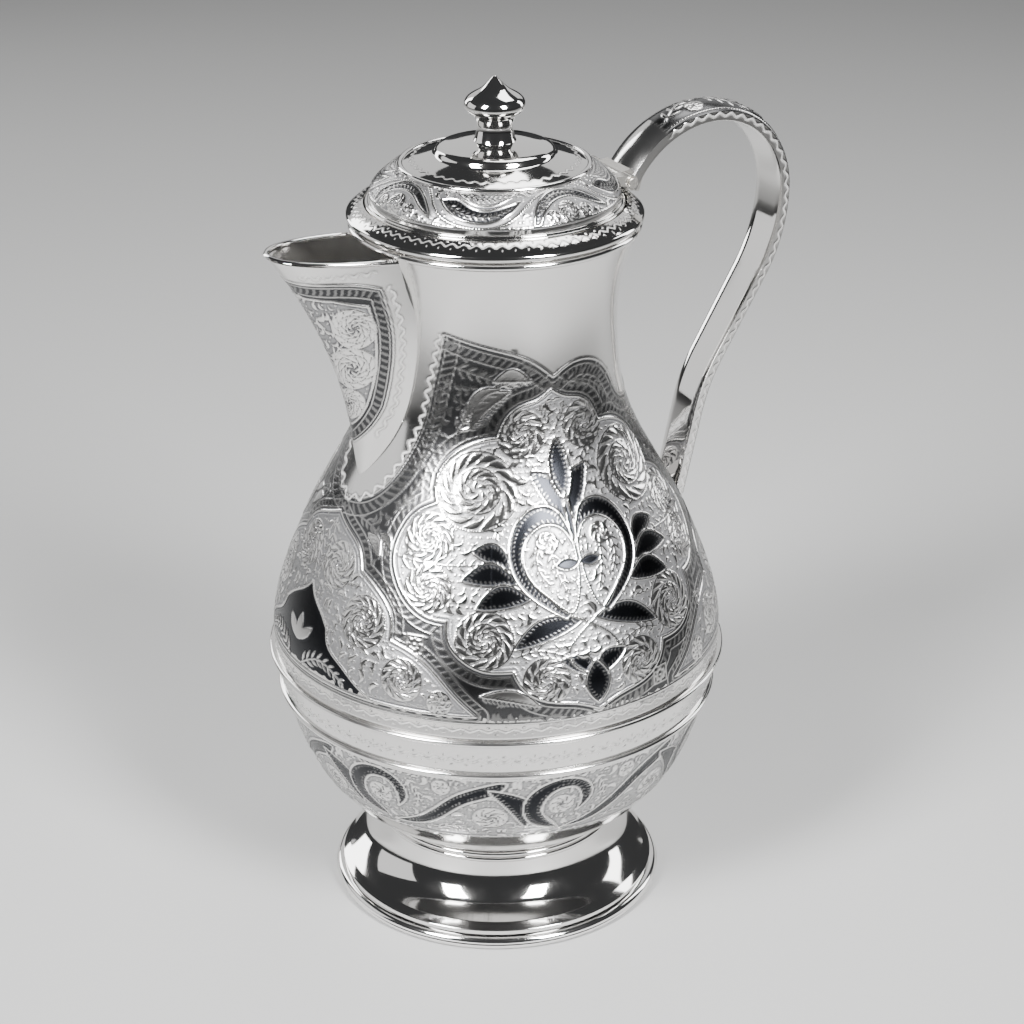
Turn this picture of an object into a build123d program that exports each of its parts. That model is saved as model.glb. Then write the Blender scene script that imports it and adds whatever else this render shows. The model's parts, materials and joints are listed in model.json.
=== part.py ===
"""Lidded water pitcher raised from silver sheet.

The pitcher stands on Z = 0 with its axis on Z.  The spout points along -X and the
handle along +X.  The lid swings up about a pin that lies along Y, beside the handle's
upper end.  All sizes are millimetres.
"""
import os
from math import cos, hypot, radians, sin, sqrt

from build123d import *

os.makedirs("parts", exist_ok=True)

# ---------------------------------------------------------------- driving dimensions
belly_radius = 76.2          # widest point of the sheet, under the belly band
foot_radius = 57.4           # outside of the rolled foot edge
neck_lip_radius = 47.4       # outside of the wire at the neck's mouth
lid_radius = 48.0            # outside of the lid's rolled edge
dome_radius = 40.4           # foot of the lid's domed part
cap_radius = 29.4            # foot of the polished cap on the dome
lip_top = 242.9              # top of the neck's mouth
lid_gap = 0.3                # air between the closed lid and the neck
sheet = 1.2                  # body sheet
thin_sheet = 0.9             # lid, band and handle sheet
seam_height = 85.4           # where the bowl and the upper body meet, under the band
band_low, band_high = 77.5, 93.3
collar_height = 27.5         # middle of the collar between foot and bowl

hinge_x, hinge_z = 43.6, 250.8   # line of the hinge pin, parallel to Y
pin_radius = 1.0
pin_play = 0.04              # radial play in the lid's knuckles
barrel_radius = 2.3
lug_half_width = 7.4         # fixed knuckle, under the handle's upper end
knuckle_length = 5.0
side_play = 0.3
seat_angle = 46.0            # half angle of the fixed part of the flange

handle_width = 15.0
handle_depth = 5.8           # inner face to crown


def band_radius(z):
    """Radius of the straight cone that the belly band covers."""
    return belly_radius - (band_high - z) * (belly_radius - 73.0) / (band_high - band_low)


def sheet_outline(points, wall, straight_end=None):
    """Draw a sheet's section: a smooth outside through the points, and an inside.

    Each point moves by the wall's thickness, square to the line between its neighbours,
    to the left of the way the points run.  A straight end carries the sheet on.
    """
    inside = []
    for index, (r, z) in enumerate(points):
        before = points[max(index - 1, 0)]
        after = points[min(index + 1, len(points) - 1)]
        run, rise = after[0] - before[0], after[1] - before[1]
        length = hypot(run, rise)
        inside.append((r - wall * rise / length, z + wall * run / length))
    outer = Spline(*points)
    inner = Spline(*inside)
    Line(outer @ 0, inner @ 0)
    if straight_end is None:
        Line(outer @ 1, inner @ 1)
    else:
        end = Vector(*straight_end)
        Polyline(outer @ 1, end, end - Vector(wall, 0), inner @ 1)


# Outside of the sheet as (radius, height), from the collar to the belly band.
bowl_profile = [
    (40.6, 29.4), (48.5, 34.2), (56.2, 41.2), (65.3, 54.7), (70.7, 68.6),
    (band_radius(band_low), band_low),
]
# Outside of the sheet from the belly band over the shoulder and up the neck.
body_profile = [
    (belly_radius, band_high), (75.6, 105.6), (70.3, 124.0), (62.0, 143.3), (51.5, 162.5),
    (42.9, 181.8), (40.0, 201.0), (39.8, 216.4), (42.9, 231.8), (46.2, 240.4),
]
lid_underside = lip_top + lid_gap

# ---------------------------------------------------------------- foot
# A trumpet flare, spun from sheet, that ends in a step above the rolled edge.
foot_profile = [(40.6, 25.6), (41.6, 19.5), (45.6, 12.8), (52.6, 8.2)]
step_radius, step_height = 55.0, 6.6

with BuildPart() as foot:
    with BuildSketch(Plane.XZ):
        with BuildLine():
            sheet_outline(foot_profile, -sheet)
        make_face()
        with BuildLine():
            Polyline((51.4, 8.3), (52.6, 8.2), (step_radius, step_height), (step_radius, 4.6),
                     (step_radius - 2.4, 4.6), (51.4, 7.2), close=True)
        make_face()
    revolve(axis=Axis.Z)
foot.part.label = "foot"
export_step(foot.part, "parts/foot.step")

# The rolled edge is a heavy half-round wire that the foot stands on.
edge_width, edge_height = 6.0, 4.6
with BuildPart() as foot_edge_wire:
    with BuildSketch(Plane.XZ):
        with Locations((foot_radius - edge_width / 2, edge_height / 2)):
            RectangleRounded(edge_width, edge_height, 2.0)
    revolve(axis=Axis.Z)
foot_edge_wire.part.label = "foot_edge_wire"
export_step(foot_edge_wire.part, "parts/foot_edge_wire.step")

# Two beads and a waist between them join the foot to the bowl.
with BuildPart() as foot_collar:
    with BuildSketch(Plane.XZ):
        with Locations((40.0, collar_height)):
            Rectangle(3.6, 3.8)
        with Locations((41.8, collar_height - 0.9), (41.6, collar_height + 0.9)):
            Circle(0.9)
    revolve(axis=Axis.Z)
foot_collar.part.label = "foot_collar"
export_step(foot_collar.part, "parts/foot_collar.step")

# ---------------------------------------------------------------- body
# The bowl is one raised piece with a closed, slightly domed bottom.
with BuildPart() as lower_bowl:
    with BuildSketch(Plane.XZ):
        with BuildLine():
            sheet_outline(bowl_profile, sheet, (band_radius(seam_height), seam_height))
        make_face()
        with BuildLine():
            Polyline((0, 31.6), (0, 31.6 + sheet), (bowl_profile[0][0], 29.4 + sheet + 0.2),
                     (bowl_profile[0][0] + 0.4, 29.7), (bowl_profile[0][0] - 0.6, 29.4), close=True)
        make_face()
    revolve(axis=Axis.Z)
lower_bowl.part.label = "lower_bowl"
export_step(lower_bowl.part, "parts/lower_bowl.step")


# Solid block of everything inside the body's outer face, for trimming what joins it.
with BuildPart() as body_block:
    with BuildSketch(Plane.XZ):
        with BuildLine():
            side = Spline(*body_profile)
            Polyline(side @ 1, (46.2, 262), (0, 262), (0, seam_height),
                     (band_radius(seam_height), seam_height), side @ 0)
        make_face()
    revolve(axis=Axis.Z)

# Strainer: rows of holes in the neck wall behind the spout.
strainer_rows = [(188.0, 1), (194.0, 2), (200.0, 3), (206.0, 4), (212.0, 3), (218.0, 4),
                 (224.0, 3), (229.5, 2)]
strainer_pitch = 6.0
strainer_hole = 1.5

with BuildPart() as upper_body:
    with BuildSketch(Plane.XZ):
        with BuildLine():
            sheet_outline(body_profile, sheet)
        make_face()
        with BuildLine():
            seam = (band_radius(seam_height), seam_height)
            Polyline(body_profile[0], seam, (seam[0] - sheet, seam[1]),
                     (body_profile[0][0] - sheet, body_profile[0][1]), close=True)
        make_face()
    revolve(axis=Axis.Z)
    for row_height, count in strainer_rows:
        with BuildSketch(Plane.YZ.offset(-30)):
            with Locations((0, row_height)):
                with GridLocations(strainer_pitch, 1, count, 1):
                    Circle(strainer_hole)
        extrude(amount=-30, mode=Mode.SUBTRACT)
upper_body.part.label = "upper_body"
export_step(upper_body.part, "parts/upper_body.step")

# The band covers the seam and carries a round ridge along each edge.
ridge_radius = 1.0
with BuildPart() as belly_band:
    with BuildSketch(Plane.XZ):
        with BuildLine():
            low_in = (band_radius(band_low + 0.3), band_low + 0.3)
            high_in = (band_radius(band_high - 0.2), band_high - 0.2)
            Polyline(low_in, high_in, (high_in[0] + 0.7, high_in[1]),
                     (low_in[0] + 0.7, low_in[1]), close=True)
        make_face()
        with Locations((band_radius(band_low + 1.3) + 1.1, band_low + 1.3),
                       (band_radius(band_high - 1.2) + 1.1, band_high - 1.2)):
            Circle(ridge_radius)
    revolve(axis=Axis.Z)
belly_band.part.label = "belly_band"
export_step(belly_band.part, "parts/belly_band.step")

# A flat-topped wire stiffens the mouth of the neck.
with BuildPart() as neck_lip_wire:
    with BuildSketch(Plane.XZ):
        with Locations((neck_lip_radius - 1.5, lip_top - 1.2)):
            RectangleRounded(3.0, 2.4, 1.0)
    revolve(axis=Axis.Z)
    add(upper_body.part, mode=Mode.SUBTRACT)
neck_lip_wire.part.label = "neck_lip_wire"
export_step(neck_lip_wire.part, "parts/neck_lip_wire.step")

# ---------------------------------------------------------------- spout
# Level sections as (height, keel radius, half width, bluntness of the nose).
spout_sections = [
    (156.0, 49.5, 3.0, 2.0), (168.0, 51.6, 9.0, 2.0), (181.0, 52.8, 12.4, 2.2),
    (197.0, 56.4, 14.4, 2.6), (213.0, 62.6, 15.5, 3.0), (228.0, 70.4, 15.6, 3.6),
    (246.0, 83.0, 15.8, 4.0),
]
spout_root = 30.0            # sections start here, inside the neck
rim_low, rim_high = 239.2, 241.7     # height of the rim at the neck and at the tip
spout_tip = 79.2
spout_sheet = 1.1


def spout_outline(keel, half_width, bluntness, inset):
    """Closed level section: half width = b * sqrt(1 - t ** bluntness), t along the spout."""
    reach = keel - inset - spout_root
    half = half_width - inset
    stations = [0.0, 0.35, 0.6, 0.8, 0.93]
    side = [(spout_root + reach * t, half * sqrt(1 - t ** bluntness)) for t in stations]
    nose = (spout_root + reach, 0.0)
    upper = [(-x, y) for x, y in side]
    lower = [(-x, -y) for x, y in reversed(side)]
    Spline(*upper, (-nose[0], 0.0), *lower)
    Line(lower[-1], upper[0])


def spout_solid(inset):
    """Loft the level sections, all drawn in by the same inset."""
    with BuildPart() as body:
        for height, keel, half_width, bluntness in spout_sections:
            with BuildSketch(Plane.XY.offset(height)):
                with BuildLine():
                    spout_outline(keel, half_width, bluntness, inset)
                make_face()
        loft()
    return body.part


rim_slope = (rim_high - rim_low) / (spout_tip - neck_lip_radius)
with BuildPart() as above_rim:
    with BuildSketch(Plane.XZ):
        with BuildLine():
            Polyline((-20, rim_low - rim_slope * 27), (-95, rim_low + rim_slope * 48),
                     (-95, 265), (-20, 265), close=True)
        make_face()
    extrude(amount=30, both=True)

with BuildPart() as spout:
    add(spout_solid(0.0))
    add(spout_solid(spout_sheet), mode=Mode.SUBTRACT)
    add(above_rim.part, mode=Mode.SUBTRACT)
    add(body_block.part, mode=Mode.SUBTRACT)
    add(neck_lip_wire.part, mode=Mode.SUBTRACT)
spout.part.label = "spout"
export_step(spout.part, "parts/spout.step")

# The mouth of the spout is bound by a slim wire, proud of the sheet on the outside.
rim_wire_height = 1.6
with BuildPart() as spout_rim_wire:
    add(spout_solid(-0.5))
    add(spout_solid(spout_sheet + 0.1), mode=Mode.SUBTRACT)
    add(above_rim.part.moved(Location((0, 0, rim_wire_height))), mode=Mode.SUBTRACT)
    add(above_rim.part, mode=Mode.INTERSECT)
    add(body_block.part, mode=Mode.SUBTRACT)
    add(neck_lip_wire.part, mode=Mode.SUBTRACT)
spout_rim_wire.part.label = "spout_rim_wire"
export_step(spout_rim_wire.part, "parts/spout_rim_wire.step")

# ---------------------------------------------------------------- lid
flange_inner = 38.6
flange_outline = [
    (flange_inner, lid_underside), (47.2, lid_underside), (lid_radius, lid_underside + 0.9),
    (47.2, lid_underside + 2.2), (42.4, 248.4), (flange_inner, 249.4),
]
seat_inner = dome_radius + 1.3


def flange_ring():
    """Revolve the flange's section all the way round."""
    with BuildPart() as ring:
        with BuildSketch(Plane.XZ):
            with BuildLine():
                Polyline(*flange_outline, close=True)
            make_face()
        revolve(axis=Axis.Z)
    return ring.part


def sector(half_angle, inner_radius, clearance):
    """Wedge about +X that holds the fixed part of the flange, grown by a clearance."""
    reach = 70.0
    edge = Vector(reach * cos(radians(half_angle)), reach * sin(radians(half_angle)))
    shift = clearance / sin(radians(half_angle))
    with BuildPart() as wedge:
        with BuildSketch(Plane.XY.offset(235)):
            with BuildLine():
                Polyline((-shift, 0), (edge.X - shift, edge.Y), (reach, edge.Y),
                         (reach, -edge.Y), (edge.X - shift, -edge.Y), close=True)
            make_face()
            Circle(inner_radius - clearance, mode=Mode.SUBTRACT)
        extrude(amount=25)
    return wedge.part


with BuildPart() as lid_flange:
    add(flange_ring())
    add(sector(seat_angle, seat_inner, 0.4), mode=Mode.SUBTRACT)
lid_flange.part.label = "lid_flange"
export_step(lid_flange.part, "parts/lid_flange.step")

with BuildPart() as hinge_seat:
    add(flange_ring())
    add(sector(seat_angle, seat_inner, 0.0), mode=Mode.INTERSECT)
    # It stands on the neck wire, which the moving part of the lid clears.
    with BuildSketch(Plane.XY.offset(lip_top)):
        Circle(46.8)
        Circle(43.4, mode=Mode.SUBTRACT)
    extrude(amount=lid_gap)
    add(sector(seat_angle, seat_inner, 0.0), mode=Mode.INTERSECT)
hinge_seat.part.label = "hinge_seat"
export_step(hinge_seat.part, "parts/hinge_seat.step")

# The bezel is the collar under the lid that drops into the neck.
with BuildPart() as lid_bezel:
    with BuildSketch(Plane.XZ):
        with BuildLine():
            Polyline((41.9, lid_underside), (41.3, 237.2), (40.3, 237.2),
                     (40.9, lid_underside), close=True)
        make_face()
    revolve(axis=Axis.Z)
lid_bezel.part.label = "lid_bezel"
export_step(lid_bezel.part, "parts/lid_bezel.step")

dome_foot, dome_bow, dome_rim = (dome_radius, 251.0), (36.0, 256.9), (cap_radius, 260.5)
with BuildPart() as lid_dome:
    with BuildSketch(Plane.XZ):
        with BuildLine():
            foot_leg = Line((dome_radius, 249.45), dome_foot)
            bow = ThreePointArc(foot_leg @ 1, dome_bow, dome_rim)
            offset(amount=thin_sheet, side=Side.LEFT)
        make_face()
        with BuildLine():
            Polyline((flange_inner, 249.4), (dome_radius + 0.7, 249.0), (dome_radius + 0.7, 250.6),
                     (dome_radius, 251.0), (dome_radius - thin_sheet, 250.4), close=True)
        make_face()
    revolve(axis=Axis.Z)
    add(lid_flange.part, mode=Mode.SUBTRACT)
lid_dome.part.label = "lid_dome"
export_step(lid_dome.part, "parts/lid_dome.step")

# The cap overlaps the dome's upper edge and is bound by a wire.
cap_profile = [(cap_radius + 0.4, 261.0), (25.0, 262.6), (16.5, 266.0), (0, 268.6)]
with BuildPart() as lid_cap:
    with BuildSketch(Plane.XZ):
        with BuildLine():
            crown = Spline(*cap_profile, tangents=[(-1, 0.25), (-1, 0)])
            under = Spline(*[(r, z - thin_sheet) for r, z in cap_profile],
                           tangents=[(-1, 0.25), (-1, 0)])
            Line(crown @ 0, under @ 0)
            Line(crown @ 1, under @ 1)
        make_face()
    revolve(axis=Axis.Z)
    with BuildSketch(Plane.XY.offset(260)):
        Circle(1.6)
    extrude(amount=12, mode=Mode.SUBTRACT)
    add(lid_dome.part, mode=Mode.SUBTRACT)
lid_cap.part.label = "lid_cap"
export_step(lid_cap.part, "parts/lid_cap.step")

# Solid blocks under the outer faces of the dome and the cap, for trimming.
with BuildPart() as dome_block:
    with BuildSketch(Plane.XZ):
        with BuildLine():
            bow = ThreePointArc(dome_foot, dome_bow, dome_rim)
            Polyline(dome_rim, (0, 260.5), (0, 250), (dome_radius, 250), dome_foot)
        make_face()
    revolve(axis=Axis.Z)
with BuildPart() as cap_block:
    with BuildSketch(Plane.XZ):
        with BuildLine():
            crown = Spline(*cap_profile, tangents=[(-1, 0.25), (-1, 0)])
            Polyline(crown @ 1, (0, 258), crown @ 0 - Vector(0, 0.9), crown @ 0)
        make_face()
    revolve(axis=Axis.Z)

with BuildPart() as cap_wire:
    with BuildSketch(Plane.XZ):
        with Locations((cap_radius + 0.9, 260.6)):
            Circle(0.9)
    revolve(axis=Axis.Z)
    add(cap_block.part, mode=Mode.SUBTRACT)
    add(dome_block.part, mode=Mode.SUBTRACT)
cap_wire.part.label = "cap_wire"
export_step(cap_wire.part, "parts/cap_wire.step")

# ---------------------------------------------------------------- finial
finial_top = 289.0
finial_base, finial_base_radius = 267.0, 8.4
waist_radius, waist_height = 5.9, 273.2
shoulder_radius, shoulder_height = 9.75, 280.6
stud_radius = 1.6
with BuildPart() as finial:
    with BuildSketch(Plane.XZ):
        with BuildLine():
            base = Line((0, finial_base), (finial_base_radius, finial_base))
            skirt = Spline(base @ 1, (6.3, 271.0), (waist_radius, waist_height),
                           tangents=[(-1, 0.9), (0, 1)])
            neck = Spline(skirt @ 1, (7.1, 276.8), (shoulder_radius, shoulder_height),
                          tangents=[(0, 1), (0, 1)])
            crest = Spline(neck @ 1, (6.4, 284.4), (0.6, finial_top - 0.2),
                           tangents=[(0, 1), (-0.5, 1)])
            Polyline(crest @ 1, (0, finial_top), (0, finial_base))
        make_face()
    revolve(axis=Axis.Z)
    with BuildSketch(Plane.XY.offset(260)):
        Circle(stud_radius)
    extrude(amount=14, mode=Mode.SUBTRACT)
    add(cap_block.part, mode=Mode.SUBTRACT)
finial.part.label = "finial"
export_step(finial.part, "parts/finial.step")

with BuildPart() as finial_stud:
    with BuildSketch(Plane.XY.offset(262)):
        Circle(stud_radius)
    extrude(amount=12)
finial_stud.part.label = "finial_stud"
export_step(finial_stud.part, "parts/finial_stud.step")

with BuildPart() as finial_nut:
    with BuildSketch(Plane.XY.offset(264.3)):
        RegularPolygon(3.6, 6)
        Circle(stud_radius, mode=Mode.SUBTRACT)
    extrude(amount=2.2)
    with BuildSketch(Plane.XY.offset(266.5)):
        Circle(5.0)
        Circle(stud_radius, mode=Mode.SUBTRACT)
    extrude(amount=1.1)
    add(lid_cap.part, mode=Mode.SUBTRACT)
finial_nut.part.label = "finial_nut"
export_step(finial_nut.part, "parts/finial_nut.step")

# ---------------------------------------------------------------- hinge
knuckle_start = lug_half_width + side_play

with BuildPart() as hinge_lug:
    with BuildSketch(Plane.XZ):
        with BuildLine():
            Polyline((hinge_x - 1.4, 248.6), (44.6, 246.6), (49.6, 245.6), (50.9, 249.6),
                     (46.2, 253.6), (hinge_x - 0.2, hinge_z + 2.2), close=True)
        make_face()
        with Locations((hinge_x, hinge_z)):
            Circle(barrel_radius)
            Circle(pin_radius, mode=Mode.SUBTRACT)
    extrude(amount=lug_half_width, both=True)
    add(hinge_seat.part, mode=Mode.SUBTRACT)
hinge_lug.part.label = "hinge_lug"
export_step(hinge_lug.part, "parts/hinge_lug.step")

with BuildPart() as lid_knuckles:
    for side in (-1, 1):
        near = knuckle_start if side > 0 else -knuckle_start - knuckle_length
        with BuildSketch(Plane.XZ.offset(-near)):
            with Locations((hinge_x, hinge_z)):
                Circle(barrel_radius)
            with BuildLine():
                Polyline((38.0, hinge_z - 0.3), (hinge_x, hinge_z - 1.6), (hinge_x, hinge_z + 2.2),
                         (38.0, hinge_z + 2.6), close=True)
            make_face()
            with Locations((hinge_x, hinge_z)):
                Circle(pin_radius + pin_play, mode=Mode.SUBTRACT)
        extrude(amount=-knuckle_length)
    add(lid_dome.part, mode=Mode.SUBTRACT)
    with BuildSketch(Plane.XY.offset(240)):
        Circle(dome_radius - thin_sheet / 2)
    extrude(amount=30, mode=Mode.SUBTRACT)
lid_knuckles.part.label = "lid_knuckles"
export_step(lid_knuckles.part, "parts/lid_knuckles.step")

pin_half_length = knuckle_start + knuckle_length + 0.5
with BuildPart() as hinge_pin:
    with BuildSketch(Plane.XZ.offset(-pin_half_length)):
        with Locations((hinge_x, hinge_z)):
            Circle(pin_radius)
    extrude(amount=2 * pin_half_length)
    for side in (-1, 1):
        with BuildSketch(Plane.XZ.offset(side * (pin_half_length + 0.35))):
            with Locations((hinge_x, hinge_z)):
                Circle(1.6)
        extrude(amount=0.35, both=True)
hinge_pin.part.label = "hinge_pin"
export_step(hinge_pin.part, "parts/hinge_pin.step")

# ---------------------------------------------------------------- handle
# The inner face follows arcs that meet tangentially: a rise from the lid, a tight turn
# over the top, a long fall, a straight run, and a gentle turn in to the belly.
arch_x, arch_top = 78.5, 264.8
rise_radius, turn_radius, fall_radius, sweep_radius = 33.3, 27.9, 54.0, 70.0
rise_angle = 64.0            # how far the rise turns before the top
fall_angle, foot_angle = 31.0, 13.0      # from the vertical
run_length, foot_run = 31.5, 46.0


def handle_path():
    """Draw the inner face of the handle in the XZ plane, from the lid to the belly."""
    start = (arch_x - rise_radius * sin(radians(rise_angle)),
             arch_top - rise_radius * (1 - cos(radians(rise_angle))))
    rise = JernArc(start, (cos(radians(rise_angle)), sin(radians(rise_angle))),
                   rise_radius, -rise_angle)
    turn_over = JernArc(rise @ 1, rise % 1, turn_radius, -90)
    fall = JernArc(turn_over @ 1, turn_over % 1, fall_radius, -fall_angle)
    run = Line(fall @ 1, fall @ 1 + (fall % 1) * run_length)
    sweep_in = JernArc(run @ 1, run % 1, sweep_radius, fall_angle - foot_angle)
    Line(sweep_in @ 1, sweep_in @ 1 + (sweep_in % 1) * foot_run)


with BuildLine(Plane.XZ) as handle_line:
    handle_path()
handle_start = Plane(origin=handle_line.line @ 0, x_dir=(0, 1, 0), z_dir=handle_line.line % 0)


def handle_sweep(width, low, high, crown):
    """Sweep a section: a plate from low to high above the inner face, domed by crown."""
    with BuildPart() as bar:
        with BuildSketch(handle_start):
            with BuildLine():
                Line((-width / 2, low), (-width / 2, high))
                if crown > 0:
                    ThreePointArc((-width / 2, high), (0, high + crown), (width / 2, high))
                else:
                    Line((-width / 2, high), (width / 2, high))
                Polyline((width / 2, high), (width / 2, low), (-width / 2, low))
            make_face()
        sweep(path=handle_line.line)
    return bar.part


strap_height = 1.2
wall_height = 2.2
crown_height = handle_depth - strap_height - wall_height

# Leaf-shaped pad, bent to the shoulder, under the handle's lower end.
pad_height, pad_half_width, pad_half_height = 127.0, 9.5, 15.0
pad_sheet = 1.0
with BuildPart() as handle_pad:
    with BuildSketch(Plane.XZ):
        with BuildLine():
            sheet_outline(body_profile, -pad_sheet)
        make_face()
    revolve(axis=Axis.Z)
    with BuildSketch(Plane.YZ.offset(40)):
        with Locations((0, pad_height)):
            Ellipse(pad_half_width, pad_half_height)
    extrude(amount=60, mode=Mode.INTERSECT)
    add(upper_body.part, mode=Mode.SUBTRACT)
handle_pad.part.label = "handle_pad"
export_step(handle_pad.part, "parts/handle_pad.step")

with BuildPart() as handle_strap:
    add(handle_sweep(handle_width, 0.0, strap_height, 0.0))
    add(body_block.part, mode=Mode.SUBTRACT)
    add(handle_pad.part, mode=Mode.SUBTRACT)
    add(hinge_lug.part, mode=Mode.SUBTRACT)
handle_strap.part.label = "handle_strap"
export_step(handle_strap.part, "parts/handle_strap.step")

with BuildPart() as handle_shell:
    add(handle_sweep(handle_width, strap_height, strap_height + wall_height, crown_height))
    add(handle_sweep(handle_width - 2 * thin_sheet, strap_height - 0.1,
                     strap_height + wall_height - 0.5, crown_height - 0.4), mode=Mode.SUBTRACT)
    add(body_block.part, mode=Mode.SUBTRACT)
    add(handle_pad.part, mode=Mode.SUBTRACT)
    add(hinge_lug.part, mode=Mode.SUBTRACT)
handle_shell.part.label = "handle_shell"
export_step(handle_shell.part, "parts/handle_shell.step")
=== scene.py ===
# %% [markdown]
# # A chased silver water pitcher
# The pitcher is raised from sheet silver: a bowl, a pear-shaped upper body, a spout, a
# handle and a hinged lid.  Some surfaces are mirror polished.  The others are chased, which
# means that punches raise lines and leaves on them, and inlaid with niello, a black alloy.
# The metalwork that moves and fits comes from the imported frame.  This script dresses it.

# %% Load the frame
import json

import bmesh
import bpy
import numpy as np
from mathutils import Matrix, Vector

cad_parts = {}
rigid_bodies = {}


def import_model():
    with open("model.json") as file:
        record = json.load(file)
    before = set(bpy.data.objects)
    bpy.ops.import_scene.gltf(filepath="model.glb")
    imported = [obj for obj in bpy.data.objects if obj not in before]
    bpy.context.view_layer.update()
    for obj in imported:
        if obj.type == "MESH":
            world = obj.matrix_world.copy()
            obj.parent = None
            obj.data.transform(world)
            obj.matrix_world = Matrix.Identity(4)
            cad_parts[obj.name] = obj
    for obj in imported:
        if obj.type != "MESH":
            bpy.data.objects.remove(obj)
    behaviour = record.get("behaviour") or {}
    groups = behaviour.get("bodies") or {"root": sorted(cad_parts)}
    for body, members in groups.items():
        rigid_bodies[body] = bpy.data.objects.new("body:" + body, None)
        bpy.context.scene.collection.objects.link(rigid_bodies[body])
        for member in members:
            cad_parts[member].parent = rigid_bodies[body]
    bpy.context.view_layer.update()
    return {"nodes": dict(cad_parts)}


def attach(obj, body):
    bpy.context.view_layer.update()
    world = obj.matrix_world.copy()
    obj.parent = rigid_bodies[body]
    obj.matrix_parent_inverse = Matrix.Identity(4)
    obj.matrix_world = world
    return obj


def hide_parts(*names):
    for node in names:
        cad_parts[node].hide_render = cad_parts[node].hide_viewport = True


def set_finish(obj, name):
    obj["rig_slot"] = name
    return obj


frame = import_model()
MM = 0.001

# %% [markdown]
# ## The camera
# A long lens a little under a metre away, above the rim, shows the lid's top and keeps the
# body's sides nearly parallel.  Its place is worked out in polar form about the body's axis.

# %% Camera
camera_angle = np.radians(-119.0)    # where the camera stands, counter-clockwise from the handle
camera_reach, camera_height = 0.776, 0.4979
look_down, look_aside = np.radians(24.87), np.radians(0.4)
camera_data = bpy.data.cameras.new("camera")
camera_data.lens, camera_data.sensor_width = 88.9, 36.0
camera = bpy.data.objects.new("camera", camera_data)
bpy.context.scene.collection.objects.link(camera)
camera.location = (camera_reach * np.cos(camera_angle), camera_reach * np.sin(camera_angle),
                   camera_height)
heading = camera_angle + np.pi - look_aside
gaze = Vector((np.cos(heading) * np.cos(look_down), np.sin(heading) * np.cos(look_down),
               -np.sin(look_down)))
camera.rotation_euler = gaze.to_track_quat("-Z", "Y").to_euler()
bpy.context.scene.camera = camera
print("camera at", [round(v, 3) for v in camera.location])

# %% [markdown]
# ## Smooth lines
# Sheet metal that is raised with a hammer or spun on a lathe has no corners, so each outline
# is a cubic spline through a few points.

# %% Spline through points
def smooth_line(points, count):
    """Points on a natural cubic spline, evenly spaced by chord length.

    The bend at each point solves one linear system, which makes slope and bend run on
    from span to span.  The bend is zero at both ends.
    """
    p = np.asarray(points, float)
    chord = np.concatenate([[0.0], np.cumsum(np.linalg.norm(np.diff(p, axis=0), axis=1))])
    span = np.diff(chord)
    inner = np.arange(1, len(p) - 1)
    system, target = np.eye(len(p)), np.zeros_like(p)
    system[inner, inner - 1] = span[:-1]
    system[inner, inner] = 2 * (span[:-1] + span[1:])
    system[inner, inner + 1] = span[1:]
    target[1:-1] = 6 * np.diff(np.diff(p, axis=0) / span[:, None], axis=0)
    bend = np.linalg.solve(system, target)
    at = np.linspace(0, chord[-1], count)
    k = np.clip(np.searchsorted(chord, at, side="right") - 1, 0, len(span) - 1)
    back, on, h = (chord[k + 1] - at)[:, None], (at - chord[k])[:, None], span[k][:, None]
    return ((bend[k] * back ** 3 + bend[k + 1] * on ** 3) / (6 * h)
            + (p[k] / h - bend[k] * h / 6) * back + (p[k + 1] / h - bend[k + 1] * h / 6) * on)


def lengths(line):
    """Length along a line at each of its points, starting at zero."""
    return np.concatenate([[0.0], np.cumsum(np.linalg.norm(np.diff(line, axis=0), axis=1))])


def evenly(line, count):
    """The same line with its points spread evenly along its length."""
    run = lengths(line)
    at = np.linspace(0, run[-1], count)
    return np.stack([np.interp(at, run, column) for column in np.asarray(line).T], axis=1)


def joined(*stretches):
    """Lines end to end as one line, without the points that repeat."""
    line = np.concatenate([np.asarray(s, float) for s in stretches])
    keep = np.concatenate([[True], np.linalg.norm(np.diff(line, axis=0), axis=1) > 1e-6])
    return line[keep]


def arc(centre, radius, start, end, count):
    """Points on a circle from one angle to another, in degrees."""
    a = np.radians(np.linspace(start, end, count))
    return np.stack([centre[0] + radius * np.cos(a), centre[1] + radius * np.sin(a)], axis=1)


# %% [markdown]
# ## Turning a section into a mesh
# Nearly every piece is round about the axis.  A closed section in the plane of radius and
# height is carried round through a list of angles, and each point may be pushed out along
# the section's normal by the relief.  A full turn joins up with itself.  Part of a turn gets
# a flat face at each end.

# %% Meshes from arrays
def make_mesh(name, points, faces, marks=None, body="pitcher", slot=None, sharp=50.0,
              weld=False):
    """A mesh object from arrays of points in millimetres and faces, riding on a body."""
    mesh = bpy.data.meshes.new(name)
    mesh.from_pydata((np.asarray(points) * MM).tolist(), [], faces)
    for mark, values in (marks or {}).items():
        layer = mesh.attributes.new(mark, "FLOAT", "POINT")
        layer.data.foreach_set("value", np.asarray(values, np.float32).ravel())
    if weld:
        work = bmesh.new()
        work.from_mesh(mesh)
        bmesh.ops.remove_doubles(work, verts=work.verts, dist=1e-7)
        work.to_mesh(mesh)
        work.free()
    mesh.shade_smooth()
    mesh.set_sharp_from_angle(angle=np.radians(sharp))
    mesh.validate()
    piece = bpy.data.objects.new(name, mesh)
    bpy.context.scene.collection.objects.link(piece)
    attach(piece, body)
    if slot:
        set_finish(piece, slot)
    print(f"{name}: {len(mesh.vertices)} points")
    return piece


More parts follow.
